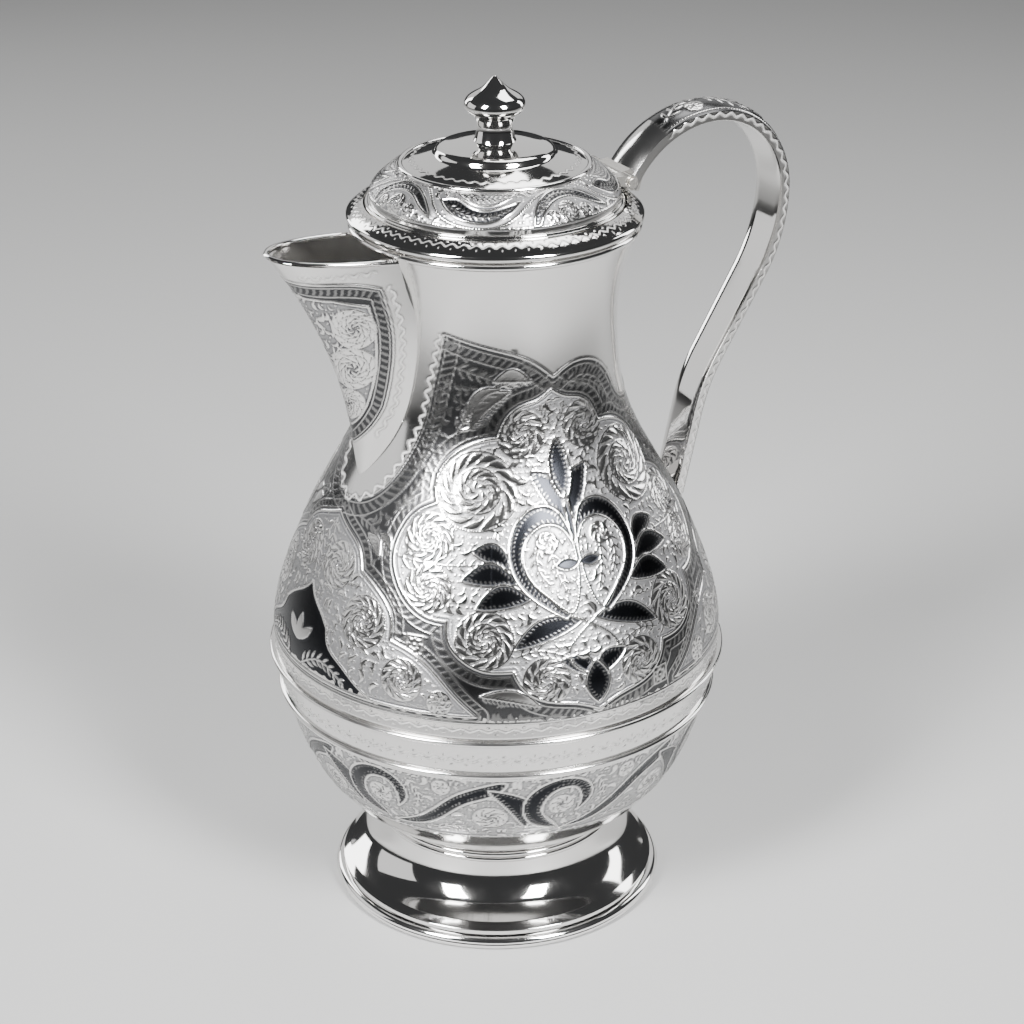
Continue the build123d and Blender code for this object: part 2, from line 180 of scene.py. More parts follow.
def face_outwards(piece):
    """Turn every face of a closed mesh to the outside."""
    work = bmesh.new()
    work.from_mesh(piece.data)
    bmesh.ops.recalc_face_normals(work, faces=work.faces)
    work.to_mesh(piece.data)
    work.free()


def grid_faces(rows, columns, wrap_rows, wrap_columns):
    """Quads between neighbours of a grid whose points are numbered row by row."""
    i = np.arange(rows if wrap_rows else rows - 1)[:, None]
    j = np.arange(columns if wrap_columns else columns - 1)[None, :]
    up, on = (i + 1) % rows, (j + 1) % columns
    quads = np.stack([i * columns + j, i * columns + on, up * columns + on,
                      up * columns + j], axis=-1)
    return quads.reshape(-1, 4).tolist()


def turned(name, section, columns, relief=None, marks=None, turn=(0.0, 360.0), **about):
    """A closed section (radius, height) carried round the axis.

    The section runs up its outer side and down its inner side.  A point at angle a is
    ((r + n_r d) cos a, (r + n_r d) sin a, z + n_z d), with n the section's normal and d the
    relief there.  relief(angles, section) gives d, and marks(angles, section) the masks.
    """
    full = turn[1] - turn[0] > 359.9
    angles = np.linspace(*turn, columns + 1)[:-1] if full else np.linspace(*turn, columns)
    section = np.asarray(section, float)
    ahead = np.roll(section, -1, axis=0) - section
    behind = np.roll(ahead, 1, axis=0)
    long_ahead, long_behind = np.linalg.norm(ahead, axis=1), np.linalg.norm(behind, axis=1)
    corner = (ahead * behind).sum(axis=1) < 0.6 * long_ahead * long_behind
    one_side = np.where((long_ahead < long_behind)[:, None], ahead, behind)
    on = np.where(corner[:, None], one_side, ahead + behind)    # at a corner, the finer side
    normal = np.stack([on[:, 1], -on[:, 0]], axis=1)
    normal /= np.maximum(np.linalg.norm(normal, axis=1), 1e-9)[:, None]
    push = relief(angles, section) if relief else np.zeros((len(section), len(angles)))
    r = section[:, :1] + normal[:, :1] * push
    z = section[:, 1:] + normal[:, 1:] * push
    a = np.radians(angles)[None, :]
    points = np.stack([r * np.cos(a), r * np.sin(a), z], axis=-1).reshape(-1, 3)
    faces = grid_faces(len(section), len(angles), True, full)
    if not full:
        start = (np.arange(len(section)) * len(angles)).tolist()
        faces += [start, [k + len(angles) - 1 for k in reversed(start)]]
    masks = marks(angles, section) if marks else None
    return make_mesh(name, points, faces, masks, **about)


# %% [markdown]
# ## The drawing of the ornament
# A chaser draws the pattern flat and then works it line by line.  Here a plate holds
# drawings of the same size: the relief in millimetres, where the black niello lies, where
# the ground is frosted with a matting punch, and where a graver has cut a bright line.  A
# line on the plate is felt as a distance, so a raised cord, a beaded cord and a cut are each
# one formula of that distance.

# %% Plate
class Plate:
    """Relief, niello, frost and bright cuts, drawn on a sheet that is developed flat."""

    def __init__(self, x_range, y_range, x_step, y_step, stretch=None, rise=None):
        self.x = np.arange(x_range[0], x_range[1] + x_step, x_step)
        self.y = np.arange(y_range[0], y_range[1] + y_step, y_step)
        self.k = stretch(self.y) if stretch else np.ones_like(self.y)   # mm per unit across
        self.j = rise(self.y) if rise else np.ones_like(self.y)         # mm per unit up
        self.height, self.niello, self.frost, self.cut = np.zeros((4, len(self.y), len(self.x)))
        self.limit = np.ones(self.height.shape, bool)       # strokes stay within this

    def local(self, centre, offsets):
        """Points that lie the given millimetres from a centre."""
        k, j = np.interp(centre[1], self.y, self.k), np.interp(centre[1], self.y, self.j)
        return np.asarray(centre) + np.asarray(offsets) / (k, j)

    def window(self, line, reach):
        """Slices of rows and columns that hold a line and its surroundings."""
        line = np.asarray(line)
        low, high = line.min(axis=0), line.max(axis=0)
        k = self.k.min()
        rows = slice(*np.searchsorted(self.y, (low[1] - reach, high[1] + reach)))
        columns = slice(*np.searchsorted(self.x, (low[0] - reach / k, high[0] + reach / k)))
        return rows, columns

    def near(self, line, reach):
        """Distance from a line and place along it, in millimetres, and their window."""
        line = np.asarray(line, float)
        k = np.interp(line[:, 1], self.y, self.k)
        j = np.interp(line[:, 1], self.y, self.j)
        step = np.diff(line, axis=0)
        run = np.concatenate([[0], np.cumsum(np.hypot(step[:, 0] * k[1:], step[:, 1] * j[1:]))])
        whole = self.window(line, reach)
        shape = self.height[whole].shape
        distance, along = np.full(shape, np.inf), np.zeros(shape)
        for first in range(0, len(line) - 1, 8):
            part = line[first:first + 9]
            rows, columns = self.window(part, reach)
            if rows.start >= rows.stop or columns.start >= columns.stop:
                continue
            k, j = self.k[rows][:, None, None], self.j[rows][:, None, None]
            from_x = (part[:-1, 0] - self.x[columns][None, :, None]) * k
            from_y = (part[:-1, 1] - self.y[rows][:, None, None]) * j
            go_x, go_y = (part[1:, 0] - part[:-1, 0]) * k, (part[1:, 1] - part[:-1, 1]) * j
            t = np.clip(-(from_x * go_x + from_y * go_y) / (go_x ** 2 + go_y ** 2 + 1e-12), 0, 1)
            d = np.hypot(from_x + t * go_x, from_y + t * go_y)
            best = d.argmin(axis=-1)[..., None]
            d = np.take_along_axis(d, best, -1)[..., 0]
            s = run[first:first + len(part)]
            place = s[best] + np.take_along_axis(t, best, -1) * (s[best + 1] - s[best])
            here = (slice(rows.start - whole[0].start, rows.stop - whole[0].start),
                    slice(columns.start - whole[1].start, columns.stop - whole[1].start))
            closer = d < distance[here]
            distance[here] = np.where(closer, d, distance[here])
            along[here] = np.where(closer, place[..., 0], along[here])
        return whole, distance, along, run

    def stroke(self, line, width, lift, bead=0.0, niello=0.0, bright=0.0):
        """A cord or a cut: lift * sqrt(1 - (d / w)^2) over half width w, beaded if asked.

        A width list is spread along the line.  A negative lift cuts into the sheet.
        """
        widths = np.atleast_1d(np.asarray(width, float))
        where, d, s, run = self.near(line, widths.max() + 0.3)
        if not d.size:
            return
        w = np.interp(s, np.linspace(0, run[-1], len(widths)), widths)
        shape = np.sqrt(np.clip(1 - (d / w) ** 2, 0, 1))
        if bead:
            shape = shape * (0.45 + 0.55 * np.abs(np.cos(np.pi * s / bead)))
        d = np.where(self.limit[where], d, 99.0)
        cover = np.clip((w + 0.12 - d) / 0.24, 0, 1)
        height = self.height[where]
        raised = np.maximum(height, lift * shape) if lift > 0 else height + lift * shape
        self.height[where] = np.where(d < w, raised, height)
        self.niello[where] += cover * (niello - self.niello[where])
        self.frost[where] *= 1 - cover
        self.cut[where] += cover * (bright - self.cut[where])

    def inside(self, outline):
        """True within a closed outline, by counting its crossings to the right."""
        outline = np.asarray(outline, float)
        found = np.zeros(self.height.shape, bool)
        for (xa, ya), (xb, yb) in zip(outline, np.roll(outline, -1, axis=0)):
            rows = slice(*np.searchsorted(self.y, sorted((ya, yb))))
            cross = xa + (self.y[rows] - ya) * (xb - xa) / (yb - ya if yb != ya else 1.0)
            found[rows] ^= self.x[None, :] < cross[:, None]
        return found

    def sample(self, x, y):
        """The five layers at given places, between the drawing's points."""
        u = np.clip((x - self.x[0]) / (self.x[1] - self.x[0]), 0, len(self.x) - 1.001)
        v = np.clip((y - self.y[0]) / (self.y[1] - self.y[0]), 0, len(self.y) - 1.001)
        i, j = v.astype(int), u.astype(int)
        fu, fv = u - j, v - i
        return [(1 - fv) * ((1 - fu) * a[i, j] + fu * a[i, j + 1])
                + fv * ((1 - fu) * a[i + 1, j] + fu * a[i + 1, j + 1])
                for a in (self.height, self.niello, self.frost, self.hollow, self.cut)]

    def relief(self, x, y, where):
        """The height at given places, and nothing outside the mask."""
        return np.where(where, self.sample(x, y)[0], 0.0)

    def masks(self, x, y, where):
        """Niello, frost, painted shade in the hollows and cuts at given places, and nothing outside
        the mask.
        """
        return {mark: layer * where for mark, layer
                in zip(("niello", "frost", "hollow", "cut"), self.sample(x, y)[1:])}

    def paint_hollow_shade(self):
        """How far each point lies below its surroundings, a mask that paints shade into the hollows.
        """
        mean = sum(np.roll(self.height, (i, j), (0, 1)) for i in range(-3, 4)
                   for j in range(-3, 4)) / 49
        self.hollow = np.clip((mean - self.height) / 0.12, 0, 1)


# %% [markdown]
# ## The chaser's motifs
# A few motifs are repeated over the whole piece: a comma leaf, a rosette of commas round a
# small eye, a spray of leaves along a stem, and a black leaf with a raised rim.

# %% Motifs
def comma(plate, centre, size, turn, hand=1, lift=0.26, niello=0.0):
    """A curved drop: an arc of the given size that swells near its head and ends in a point."""
    sweep = np.radians(turn) + hand * np.linspace(0, 2.3, 9)
    bow = np.stack([np.cos(sweep), np.sin(sweep)], axis=1) * size * 0.5
    plate.stroke(plate.local(centre, bow), size * np.array([0.06, 0.18, 0.22, 0.17, 0.09, 0.03]),
                 lift, niello=niello)


def wheel(plate, centre, inner, outer, petals, hand=1, sweep=0.95, lift=0.3):
    """Curved petals like a turbine's: radius grows from inner to outer while the angle turns.

    Each petal swells in its middle and fills about two thirds of its share of the circle.
    """
    t = np.linspace(0, 1, 7)
    share = 2 * np.pi * (inner + outer) / 2 / petals
    for k in range(petals):
        angle = 2 * np.pi * k / petals + hand * sweep * t
        r = inner + (outer - inner) * t ** 0.8
        petal = np.stack([r * np.cos(angle), r * np.sin(angle)], axis=1)
        swell = share * np.array([0.08, 0.2, 0.32, 0.3, 0.12])
        plate.stroke(plate.local(centre, petal), swell, lift)


def rosette(plate, centre, radius, hand=1, petals=9, halo=0.0):
    """A beaded ring, a wheel of petals inside it, a cord, and a small wheel about an eye.

    A halo is one more wheel of long leaves outside the ring, bound by its own cord.
    """
    plate.stroke(plate.local(centre, arc((0, 0), radius, 0, 360, 41)), 0.4, 0.3, bead=0.9)
    wheel(plate, centre, radius * 0.54, radius * 0.9, petals, hand)
    plate.stroke(plate.local(centre, arc((0, 0), radius * 0.48, 0, 360, 25)), 0.26, 0.24)
    wheel(plate, centre, radius * 0.12, radius * 0.4, max(petals // 2, 5), hand)
    if halo:
        wheel(plate, centre, radius * 1.12, radius * halo, int(petals * 1.4), hand, 0.6, 0.28)
        bound = arc((0, 0), radius * (halo + 0.12), 0, 360, 61)
        plate.stroke(plate.local(centre, bound), 0.36, 0.26, bead=0.9)


def spray(plate, stem, size, pitch, lift=0.24, niello=0.0, cord=0.3):
    """A stem with comma leaves that part from it to both sides, smaller towards the tip."""
    stem = np.asarray(stem, float)
    plate.stroke(stem, cord, lift, niello=niello)
    k = np.interp(stem[:, 1].mean(), plate.y, plate.k)
    run = lengths(stem * (k, 1.0))
    for s in np.arange(pitch * 0.5, run[-1], pitch):
        x, y = np.interp(s, run, stem[:, 0]), np.interp(s, run, stem[:, 1])
        nx, ny = np.interp(s + 0.5, run, stem[:, 0]), np.interp(s + 0.5, run, stem[:, 1])
        way = np.degrees(np.arctan2(ny - y, (nx - x) * k + 1e-9))
        leaf = size * (1.1 - 0.5 * s / run[-1])
        for hand in (-1, 1):
            side = np.radians(way + 62 * hand)
            t = np.linspace(0, 1, 6)[:, None]
            bow = t * (np.cos(side), np.sin(side)) + 0.55 * t ** 2 * (np.cos(np.radians(way)),
                                                                       np.sin(np.radians(way)))
            plate.stroke(plate.local((x, y), bow * leaf * 0.8),
                         leaf * np.array([0.05, 0.13, 0.16, 0.11, 0.03]), lift, niello=niello)


def black_leaf(plate, outline, rim=0.34, lift=0.26, veins=True):
    """A flat leaf of niello inside a raised rim, with fine silver veins."""
    outline = np.asarray(outline, float)
    within = plate.inside(outline)
    plate.niello[within], plate.frost[within], plate.height[within] = 1.0, 0.0, -0.06
    if veins:
        where, d, s, _ = plate.near(outline, 1.7)
        d = np.minimum(d, 99.0)
        vein = (np.cos(2 * np.pi * (s / 1.5 + d / 2.4)) > 0.55) & (d > 0.75) & (d < 1.7)
        vein &= within[where]
        plate.niello[where] = np.where(vein, 0.72, plate.niello[where])
        plate.height[where] = np.where(vein, 0.03, plate.height[where])
    plate.stroke(np.vstack([outline, outline[:1]]), rim, lift)


def leaf_shape(root, tip, fat, lean=0.0, count=14):
    """Outline from root to tip and back: each side is the chord plus fat * sin(pi t)^0.8.

    lean bends the middle of the leaf to one side.
    """
    t = np.linspace(0, 1, count)[:, None]
    root, tip = np.asarray(root, float), np.asarray(tip, float)
    across = np.array([-(tip - root)[1], (tip - root)[0]])
    middle = root + (tip - root) * t + across * lean * np.sin(np.pi * t)
    bulge = across * fat * np.sin(np.pi * np.clip(t, 0, 1)) ** 0.8
    return joined(middle + bulge, (middle - bulge)[::-1])


# %% [markdown]
# ## The body's ornament
# Two large medallions cover the body's sides, a quarter turn from the spout.  Each is a lobed
# shield of bright scrolls on a frosted ground.  Half panels of the same kind stand under the
# spout and under the handle, and everything between them is niello with faint leaves.  The
# far side mirrors the near one, so half of the body is drawn.

# %% Body outline and its plate
band_low, band_high, belly_radius = 77.5, 93.3, 76.2
body_points = [(belly_radius, band_high), (75.6, 105.6), (70.3, 124.0), (62.0, 143.3),
               (51.5, 162.5), (42.9, 181.8), (40.0, 201.0), (39.8, 216.4), (42.9, 231.8),
               (46.2, 240.4)]
body_line = smooth_line(body_points, 700)


def body_radius(z):
    """Radius of the body's outside at a height."""
    return np.interp(z, body_line[:, 1], body_line[:, 0])


def body_rise(z):
    """Length along the body's side for one millimetre of height."""
    slope = np.gradient(body_line[:, 0], body_line[:, 1])
    return np.sqrt(1 + np.interp(z, body_line[:, 1], slope) ** 2)


body_plate = Plate((-180.0, 0.0), (97.0, 219.0), 0.15, 0.21,
                   stretch=lambda z: np.radians(body_radius(z)), rise=body_rise)
medallion_middle = -93.3

# %% Lobed outlines
def lobes(*stretches):
    """An outline of smooth lobes that meet in notches."""
    return joined(*[smooth_line(s, 12 * len(s)) for s in stretches])


def mirrored(half, middle, scale=1.0):
    """A half outline, measured in degrees from its middle line, made whole."""
    half = np.asarray(half)
    left = np.stack([middle - scale * half[:, 0], half[:, 1]], axis=1)
    right = np.stack([middle + scale * half[:, 0], half[:, 1]], axis=1)
    return joined(left, right[::-1])


medallion_half = lobes(
    [(0, 197.6), (7, 194.6), (13.7, 193.3), (20.7, 189.5), (24.5, 183.4)],
    [(24.5, 183.4), (31, 182.6), (38.7, 180.3), (45.7, 175.6), (48.9, 169.5), (47.0, 163.4)],
    [(47.0, 163.4), (53.5, 160.2), (57.7, 153.3), (58.2, 147.1), (55.7, 141.0), (49.7, 134.0),
     (43.7, 131.0), (39.0, 130.6)],
    [(39.0, 130.6), (38.4, 125.0), (34.5, 119.6), (28.7, 116.4), (21.5, 116.2)],
    [(21.5, 116.2), (18.7, 110.2), (13.7, 106.3), (5.7, 104.0), (0, 100.9)])
panel_half = lobes(
    [(0, 151.8), (8, 148.7), (15.5, 144.8), (18.7, 139.4)],
    [(18.7, 139.4), (26.0, 135.4), (31.5, 129.5), (32.6, 122.2)],
    [(32.6, 122.2), (38.5, 120.2), (45.0, 115.2), (50.7, 107.9), (56.0, 101.6)])
tray_half = lobes(
    [(0, 129.1), (3.5, 125.2), (8.0, 122.0), (11.6, 118.4)],
    [(11.6, 118.4), (13.3, 113.8), (18.7, 109.6), (24.0, 105.2), (29.3, 101.4)])
apron_edge = smooth_line([(-143, 216.4), (-145.6, 207.2), (-148.6, 197.2), (-151, 187.2),
                          (-155, 178), (-159.5, 169.5), (-165, 162.6), (-171, 158.6),
                          (-180, 156.6)], 60)
crown_edge = joined(smooth_line([(-142, 216.4), (-119, 212.0), (-104, 208.2), (-92, 201.6)], 30),
                    smooth_line([(-92, 201.6), (-84, 204.6), (-74, 205.0), (-64, 202.0),
                                 (-56, 196.0), (-49, 188.0), (-40, 184.5), (-20, 187.0),
                                 (0, 196.0)], 50))
medallion = mirrored(medallion_half, medallion_middle)
spout_panel = mirrored(panel_half, -180.0, 1.0)
handle_panel = mirrored(panel_half, 0.0, 1.23)

# %% Grounds and borders
def hatched_border(plate, outline, mask, start=2.2, width=3.4, pitch=2.3):
    """A ribbon of slanting leaf strokes between two fine cords, beside an outline."""
    where, d, s, _ = plate.near(outline, start + width + 1.2)
    free = mask[where]
    d = np.minimum(d, 99.0)
    leaf = np.cos(2 * np.pi * (s / pitch + 0.16 * np.clip(d - start, 0, 9) ** 1.3)) > 0.25
    leaf &= (d > start + 0.45) & (d < start + width - 0.45) & free
    plate.niello[where] = np.where(leaf, 0.74, plate.niello[where])
    plate.height[where] = np.where(leaf, 0.05, plate.height[where])
    for at in (start, start + width):
        cord = np.clip(1 - np.abs(d - at) / 0.3, 0, 1) * free
        plate.height[where] = np.maximum(plate.height[where], 0.16 * cord)
        plate.niello[where] *= 1 - 0.7 * np.minimum(cord * 1.6, 1)


def bright_ground(plate, outline):
    """Clear the niello inside an outline, frost the sheet and bind it with two cords."""
    within = plate.inside(outline)
    plate.niello[within], plate.frost[within], plate.height[within] = 0.0, 1.0, -0.05
    plate.stroke(outline, 0.5, 0.34)
    where, d, s, _ = plate.near(outline, 2.4)
    beads = np.clip(1 - np.abs(d - 1.45) / 0.42, 0, 1) * within[where]
    beads *= 0.35 + 0.65 * np.abs(np.cos(np.pi * s / 0.95))
    plate.height[where] = np.maximum(plate.height[where], 0.24 * beads)
    return within


floor_line, ornament_low, ornament_top = 99.2, 99.6, 218.0
zone = joined([(-181, ornament_low), (1, ornament_low)], crown_edge[::-1], apron_edge,
              [(-181, 156.6)])
ornament = body_plate.inside(zone)
body_plate.niello[ornament], body_plate.height[ornament] = 0.93, -0.06
free_ground = ornament & ~body_plate.inside(medallion)
for panel in (spout_panel, handle_panel):
    free_ground &= ~body_plate.inside(panel)
for outline, begin, broad in ((medallion, 1.6, 3.2), (spout_panel, 1.4, 2.6),
                              (handle_panel, 1.4, 2.6), (apron_edge, 1.5, 4.2),
                              (crown_edge, 1.6, 3.6)):
    hatched_border(body_plate, outline, free_ground, begin, broad)
for stem, size in (([(-152, 170), (-147.5, 186), (-141, 202)], 3.4),
                   ([(-138, 206), (-124, 203), (-110, 200)], 3.2),
                   ([(-156, 158), (-152, 163), (-147, 172)], 3.0),
                   ([(-170, 153.4), (-162, 152), (-154, 146)], 2.8),
                   ([(-87, 199.5), (-74, 198), (-64, 193), (-55, 185)], 3.2),
                   ([(-48, 178), (-38, 176), (-24, 178), (-8, 186)], 3.6),
                   ([(-42, 168), (-34, 160), (-22, 158), (-6, 165)], 3.6),
                   ([(-36, 152), (-30, 146), (-26, 142)], 3.0),
                   ([(-150, 128), (-143, 118), (-132, 110)], 2.8),
                   ([(-56, 122), (-60, 114), (-68, 106)], 2.8)):
    spray(body_plate, smooth_line(stem, 24), size, size * 0.95, 0.1, 0.6)
print("dark ground:", int(ornament.mean() * 100), "% of the plate")

# %% Bright leaves and flowers on the dark ground
def flower(plate, centre, radius):
    """Eight round petals about an eye, in a pointed frame."""
    for turn in np.radians(np.arange(0, 360, 45)):
        at = plate.local(centre, (radius * 0.6 * np.cos(turn), radius * 0.6 * np.sin(turn)))
        plate.stroke(np.array([at, at + (0.01, 0.01)]), radius * 0.26, 0.16, niello=0.35)
    plate.stroke(np.array([centre, np.add(centre, (0.01, 0.01))]), radius * 0.2, 0.2, niello=0.2)
    frame_line = plate.local(centre, arc((0, 0), radius * 1.35, 45, 405, 5))
    plate.stroke(frame_line, 0.3, 0.14, niello=0.3)


for place in ((-140.5, 122.5), (-50.5, 118.5), (-74.5, 105.3)):
    flower(body_plate, place, 3.0)
for root, tip, fat in (((-163.5, 150.2), (-156.5, 145.0), 0.16),
                       ((-158.5, 151.4), (-153, 147.8), 0.16),
                       ((-123, 108.6), (-108.5, 104.6), 0.12), ((-133, 189), (-117, 199.5), 0.1),
                       ((-131, 185.6), (-112, 198.4), 0.1), ((-120, 201.5), (-103, 201), 0.12)):
    bright = leaf_shape(root, tip, fat, 0.14)
    lit = body_plate.inside(bright) & ornament
    body_plate.niello[lit], body_plate.height[lit] = 0.0, 0.22
    body_plate.stroke(bright, 0.3, 0.3)
    spray(body_plate, [root, np.mean([root, tip], axis=0), tip], 2.2, 1.5, 0.24, 0.5, 0.2)
plume = smooth_line([(-136, 184), (-126, 195), (-115, 200.5), (-103, 201.5)], 24)
spray(body_plate, plume, 3.6, 3.0, 0.26, 0.05)

# %% The medallion
seed = np.random.default_rng(7)


def fill_free(plate, mask, spacing, size, swirl, lift=0.26, niello=0.0):
    """Comma leaves wherever a jittered net finds ground with nothing raised on it.

    A size of zero gives punched pearls in place of leaves.
    """
    rows, columns = np.nonzero(mask)
    ys = np.arange(plate.y[rows.min()], plate.y[rows.max()], spacing)
    reach = max(int(max(size * 0.36, 0.4) / (plate.y[1] - plate.y[0])), 1)
    for n, y in enumerate(ys):
        k, row = np.interp(y, plate.y, plate.k), np.searchsorted(plate.y, y)
        for x in np.arange(plate.x[columns.min()], plate.x[columns.max()], spacing / k):
            px = x + (0.5 * (n % 2) + seed.uniform(-0.45, 0.45)) * spacing / k
            column = min(np.searchsorted(plate.x, px), len(plate.x) - 1)
            near = (slice(max(row - reach, 0), row + reach + 1),
                    slice(max(column - reach, 0), column + reach + 1))
            if not mask[row, column] or plate.height[near].max() > 0.1:
                continue
            if size:
                comma(plate, (px, y), size * seed.uniform(0.8, 1.2), swirl(px, y),
                      1 if n % 2 else -1, lift, niello)
            else:
                plate.stroke([(px, y), (px + 0.01, y)], 0.36, lift, niello=niello)


def teardrop(points, side):
    """A closed smooth outline from half-ornament points, on the left or the right."""
    line = smooth_line([*points, points[0]], 8 * len(points))
    return np.stack([medallion_middle + side * line[:, 0], line[:, 1]], axis=1)


def on_medallion(points, side):
    """Points given in degrees from the medallion's middle, on the left or the right."""
    points = np.asarray(points, float)
    return np.stack([medallion_middle + side * points[:, 0], points[:, 1]], axis=1)


heart_inner = [(0.6, 150.5), (3.6, 156.0), (9.0, 157.6), (14.8, 155.0), (17.4, 149.3),
               (15.2, 142.2), (10.2, 136.8), (4.9, 132.0), (1.6, 138.5)]
heart_band = joined(
    smooth_line([(0.8, 154.0), (4.6, 161.4), (10.4, 163.0), (17.6, 160.0), (21.6, 152.2),
                 (20.2, 143.6), (14.4, 136.4), (6.4, 130.4)], 40),
    smooth_line([(4.9, 132.0), (10.2, 136.8), (15.2, 142.2), (17.4, 149.3), (14.8, 155.0),
                 (9.0, 157.6), (3.6, 156.0), (0.8, 151.6)], 40))
bright_medallion = bright_ground(body_plate, medallion)
body_plate.limit = bright_medallion
for side in (-1, 1):
    for place, radius, petals in (((32.5, 168.0), 7.4, 11), ((15.0, 184.6), 4.4, 9),
                                  ((47.6, 153.6), 4.6, 9), ((45.6, 139.4), 4.4, 9),
                                  ((28.8, 125.6), 5.4, 10), ((13.2, 112.4), 4.4, 9)):
        centre = on_medallion([place], side)[0]
        rosette(body_plate, centre, radius, side, petals, 1.62)
    for stem, size in (([(57, 147), (44, 146.6), (30, 147.4)], 4.2),
                       ([(22, 180.5), (12, 176), (5, 166)], 3.4),
                       ([(30, 157), (24, 160), (19, 166)], 3.0),
                       ([(1.2, 186), (5, 190), (6, 193)], 2.6),
                       ([(20.5, 120.5), (15, 122), (7, 119)], 3.0)):
        spray(body_plate, smooth_line(on_medallion(stem, side), 20), size, size * 0.9)
    for lobe in ([(8.5, 150.5), (7.4, 144.5), (4.6, 137.5)], [(12.4, 152), (13, 146), (10, 141)]):
        spray(body_plate, smooth_line(on_medallion(lobe, side), 14), 3.0, 2.6)
    rosette(body_plate, on_medallion([(9.4, 152.6)], side)[0], 3.4, side, 6)
    for root, tip, fat, lean in (((20.8, 146.2), (33.5, 151.0), 0.22, 0.14),
                                 ((19.2, 142.0), (36.0, 142.6), 0.2, 0.14),
                                 ((15.6, 137.4), (31.5, 134.6), 0.22, 0.14),
                                 ((1.6, 129.8), (21.4, 122.6), 0.16, 0.1),
                                 ((0.6, 157.0), (12.4, 173.0), 0.22, 0.14),
                                 ((0.4, 112.0), (9.4, 118.4), 0.26, 0.14)):
        black_leaf(body_plate, on_medallion(leaf_shape(root, tip, fat, lean), side))
    black_leaf(body_plate, on_medallion(heart_band, side), 0.4, 0.3)
    body_plate.stroke(teardrop(heart_inner, side), 0.45, 0.34, bead=1.0)
    ribbon = smooth_line(on_medallion([(5.4, 131.4), (-2.4, 126.4), (-7.0, 120.0),
                                       (-0.4, 111.5)], side), 24)
    body_plate.stroke(ribbon, 0.45, 0.3, bead=1.0)
black_leaf(body_plate, on_medallion(leaf_shape((0, 163.5), (0, 182.5), 0.24), 1), 0.4, 0.3)
black_leaf(body_plate, on_medallion(leaf_shape((0, 117.0), (0, 103.0), 0.24), 1), 0.4, 0.3)
black_leaf(body_plate, on_medallion(leaf_shape((0, 166.0), (0, 151.0), 0.07), 1), 0.3, 0.3, False)
for side in (-1, 1):
    small_leaf = leaf_shape((0, 146), (7.6, 146), 0.22)
    black_leaf(body_plate, on_medallion(small_leaf, side), 0.3, 0.32, False)
for spacing, size in ((3.4, 4.4), (2.3, 2.8), (1.8, 0)):
    fill_free(body_plate, bright_medallion & (body_plate.niello < 0.1), spacing, size,
              lambda x, y: np.degrees(np.arctan2(y - 146, x - medallion_middle)) + 70)
body_plate.limit = np.ones_like(bright_medallion)

# %% The half panels under the spout and the handle
for middle, scale, outline in ((-180.0, 1.0, spout_panel), (0.0, 1.23, handle_panel)):
    bright_panel = bright_ground(body_plate, outline)
    side = 1 if middle < -90 else -1
    body_plate.limit = bright_panel
    for g, z, radius, petals in ((9.0, 138.0, 4.4, 9), (23.4, 125.2, 5.0, 10),
                                 (37.0, 111.0, 4.0, 9), (47.0, 105.4, 2.2, 6)):
        rosette(body_plate, (middle + side * scale * g, z), radius, side, petals, 1.6)
    spray(body_plate, smooth_line([(middle, 149.5), (middle + side * 2, 142),
                                   (middle + side * 1, 132)], 16), 3.6, 3.2)
    tray = mirrored(tray_half, middle, scale)
    dark = body_plate.inside(tray)
    body_plate.limit = np.ones_like(dark)
    body_plate.niello[dark], body_plate.frost[dark], body_plate.height[dark] = 1.0, 0.0, -0.06
    body_plate.stroke(tray, 0.5, 0.34, bead=1.0)
    for lean, reach in ((0.0, 9.0), (6.0, 6.5), (-6.0, 6.5)):
        bud = leaf_shape((middle, 109.5), (middle + lean, 109.5 + reach), 0.18)
        lit = body_plate.inside(bud)
        body_plate.niello[lit], body_plate.height[lit] = 0.15, 0.24
    spray(body_plate, smooth_line([(middle + side * 3, 102.5), (middle + side * 11, 107.5),
                                   (middle + side * 20, 103.5)], 16), 3.8, 3.0, 0.26, 0.05)
    for spacing, size in ((3.4, 4.4), (2.3, 2.8), (1.8, 0)):
        fill_free(body_plate, bright_panel & ~dark, spacing, size, lambda x, y: 3.0 * x + 5.0 * y)
body_plate.limit = np.ones_like(ornament)

fill_free(body_plate, free_ground & (body_plate.niello > 0.9), 2.4, 2.8,
          lambda x, y: 4.0 * x + 6.0 * y, 0.08, 0.74)

# %% Edges of the zone, the wriggle line and the line at the foot of the zone
def wriggle(line, k, amplitude=0.9, pitch=4.4):
    """A line that swings from side to side: the offset is amplitude * sin(2 pi s / pitch)."""
    flat = np.asarray(line) * (k, 1.0)
    scaled = evenly(flat, int(lengths(flat)[-1] * 2.5))
    run = lengths(scaled)
    on = np.gradient(scaled, axis=0)
    on /= np.linalg.norm(on, axis=1)[:, None]
    swing = amplitude * np.sin(2 * np.pi * run / pitch)[:, None]
    return (scaled + np.stack([-on[:, 1], on[:, 0]], axis=1) * swing) / (k, 1.0)


body_plate.stroke(crown_edge, 0.42, 0.26)
body_plate.stroke(apron_edge, 0.42, 0.26)
shoulder_scale = float(np.radians(body_radius(188.0)))
apron_wriggle = wriggle(apron_edge - (2.2, 0.4), shoulder_scale)
body_plate.stroke(apron_wriggle, 0.4, 0.14, bright=1.0)
body_plate.stroke([(-180, floor_line), (0, floor_line)], 0.5, 0.26)
body_plate.paint_hollow_shade()
print("body plate:", body_plate.height.shape, "points, relief up to",
      round(body_plate.height.max(), 2), "mm")


# %% [markdown]
# ## Skins on the upper body
# The CAD body stays, because its inside and its strainer are right.  Closed skins, a fraction
# of a millimetre thick, stand on its outside and carry the ornament.  They are split so that
# each one keeps to a sensible number of faces.

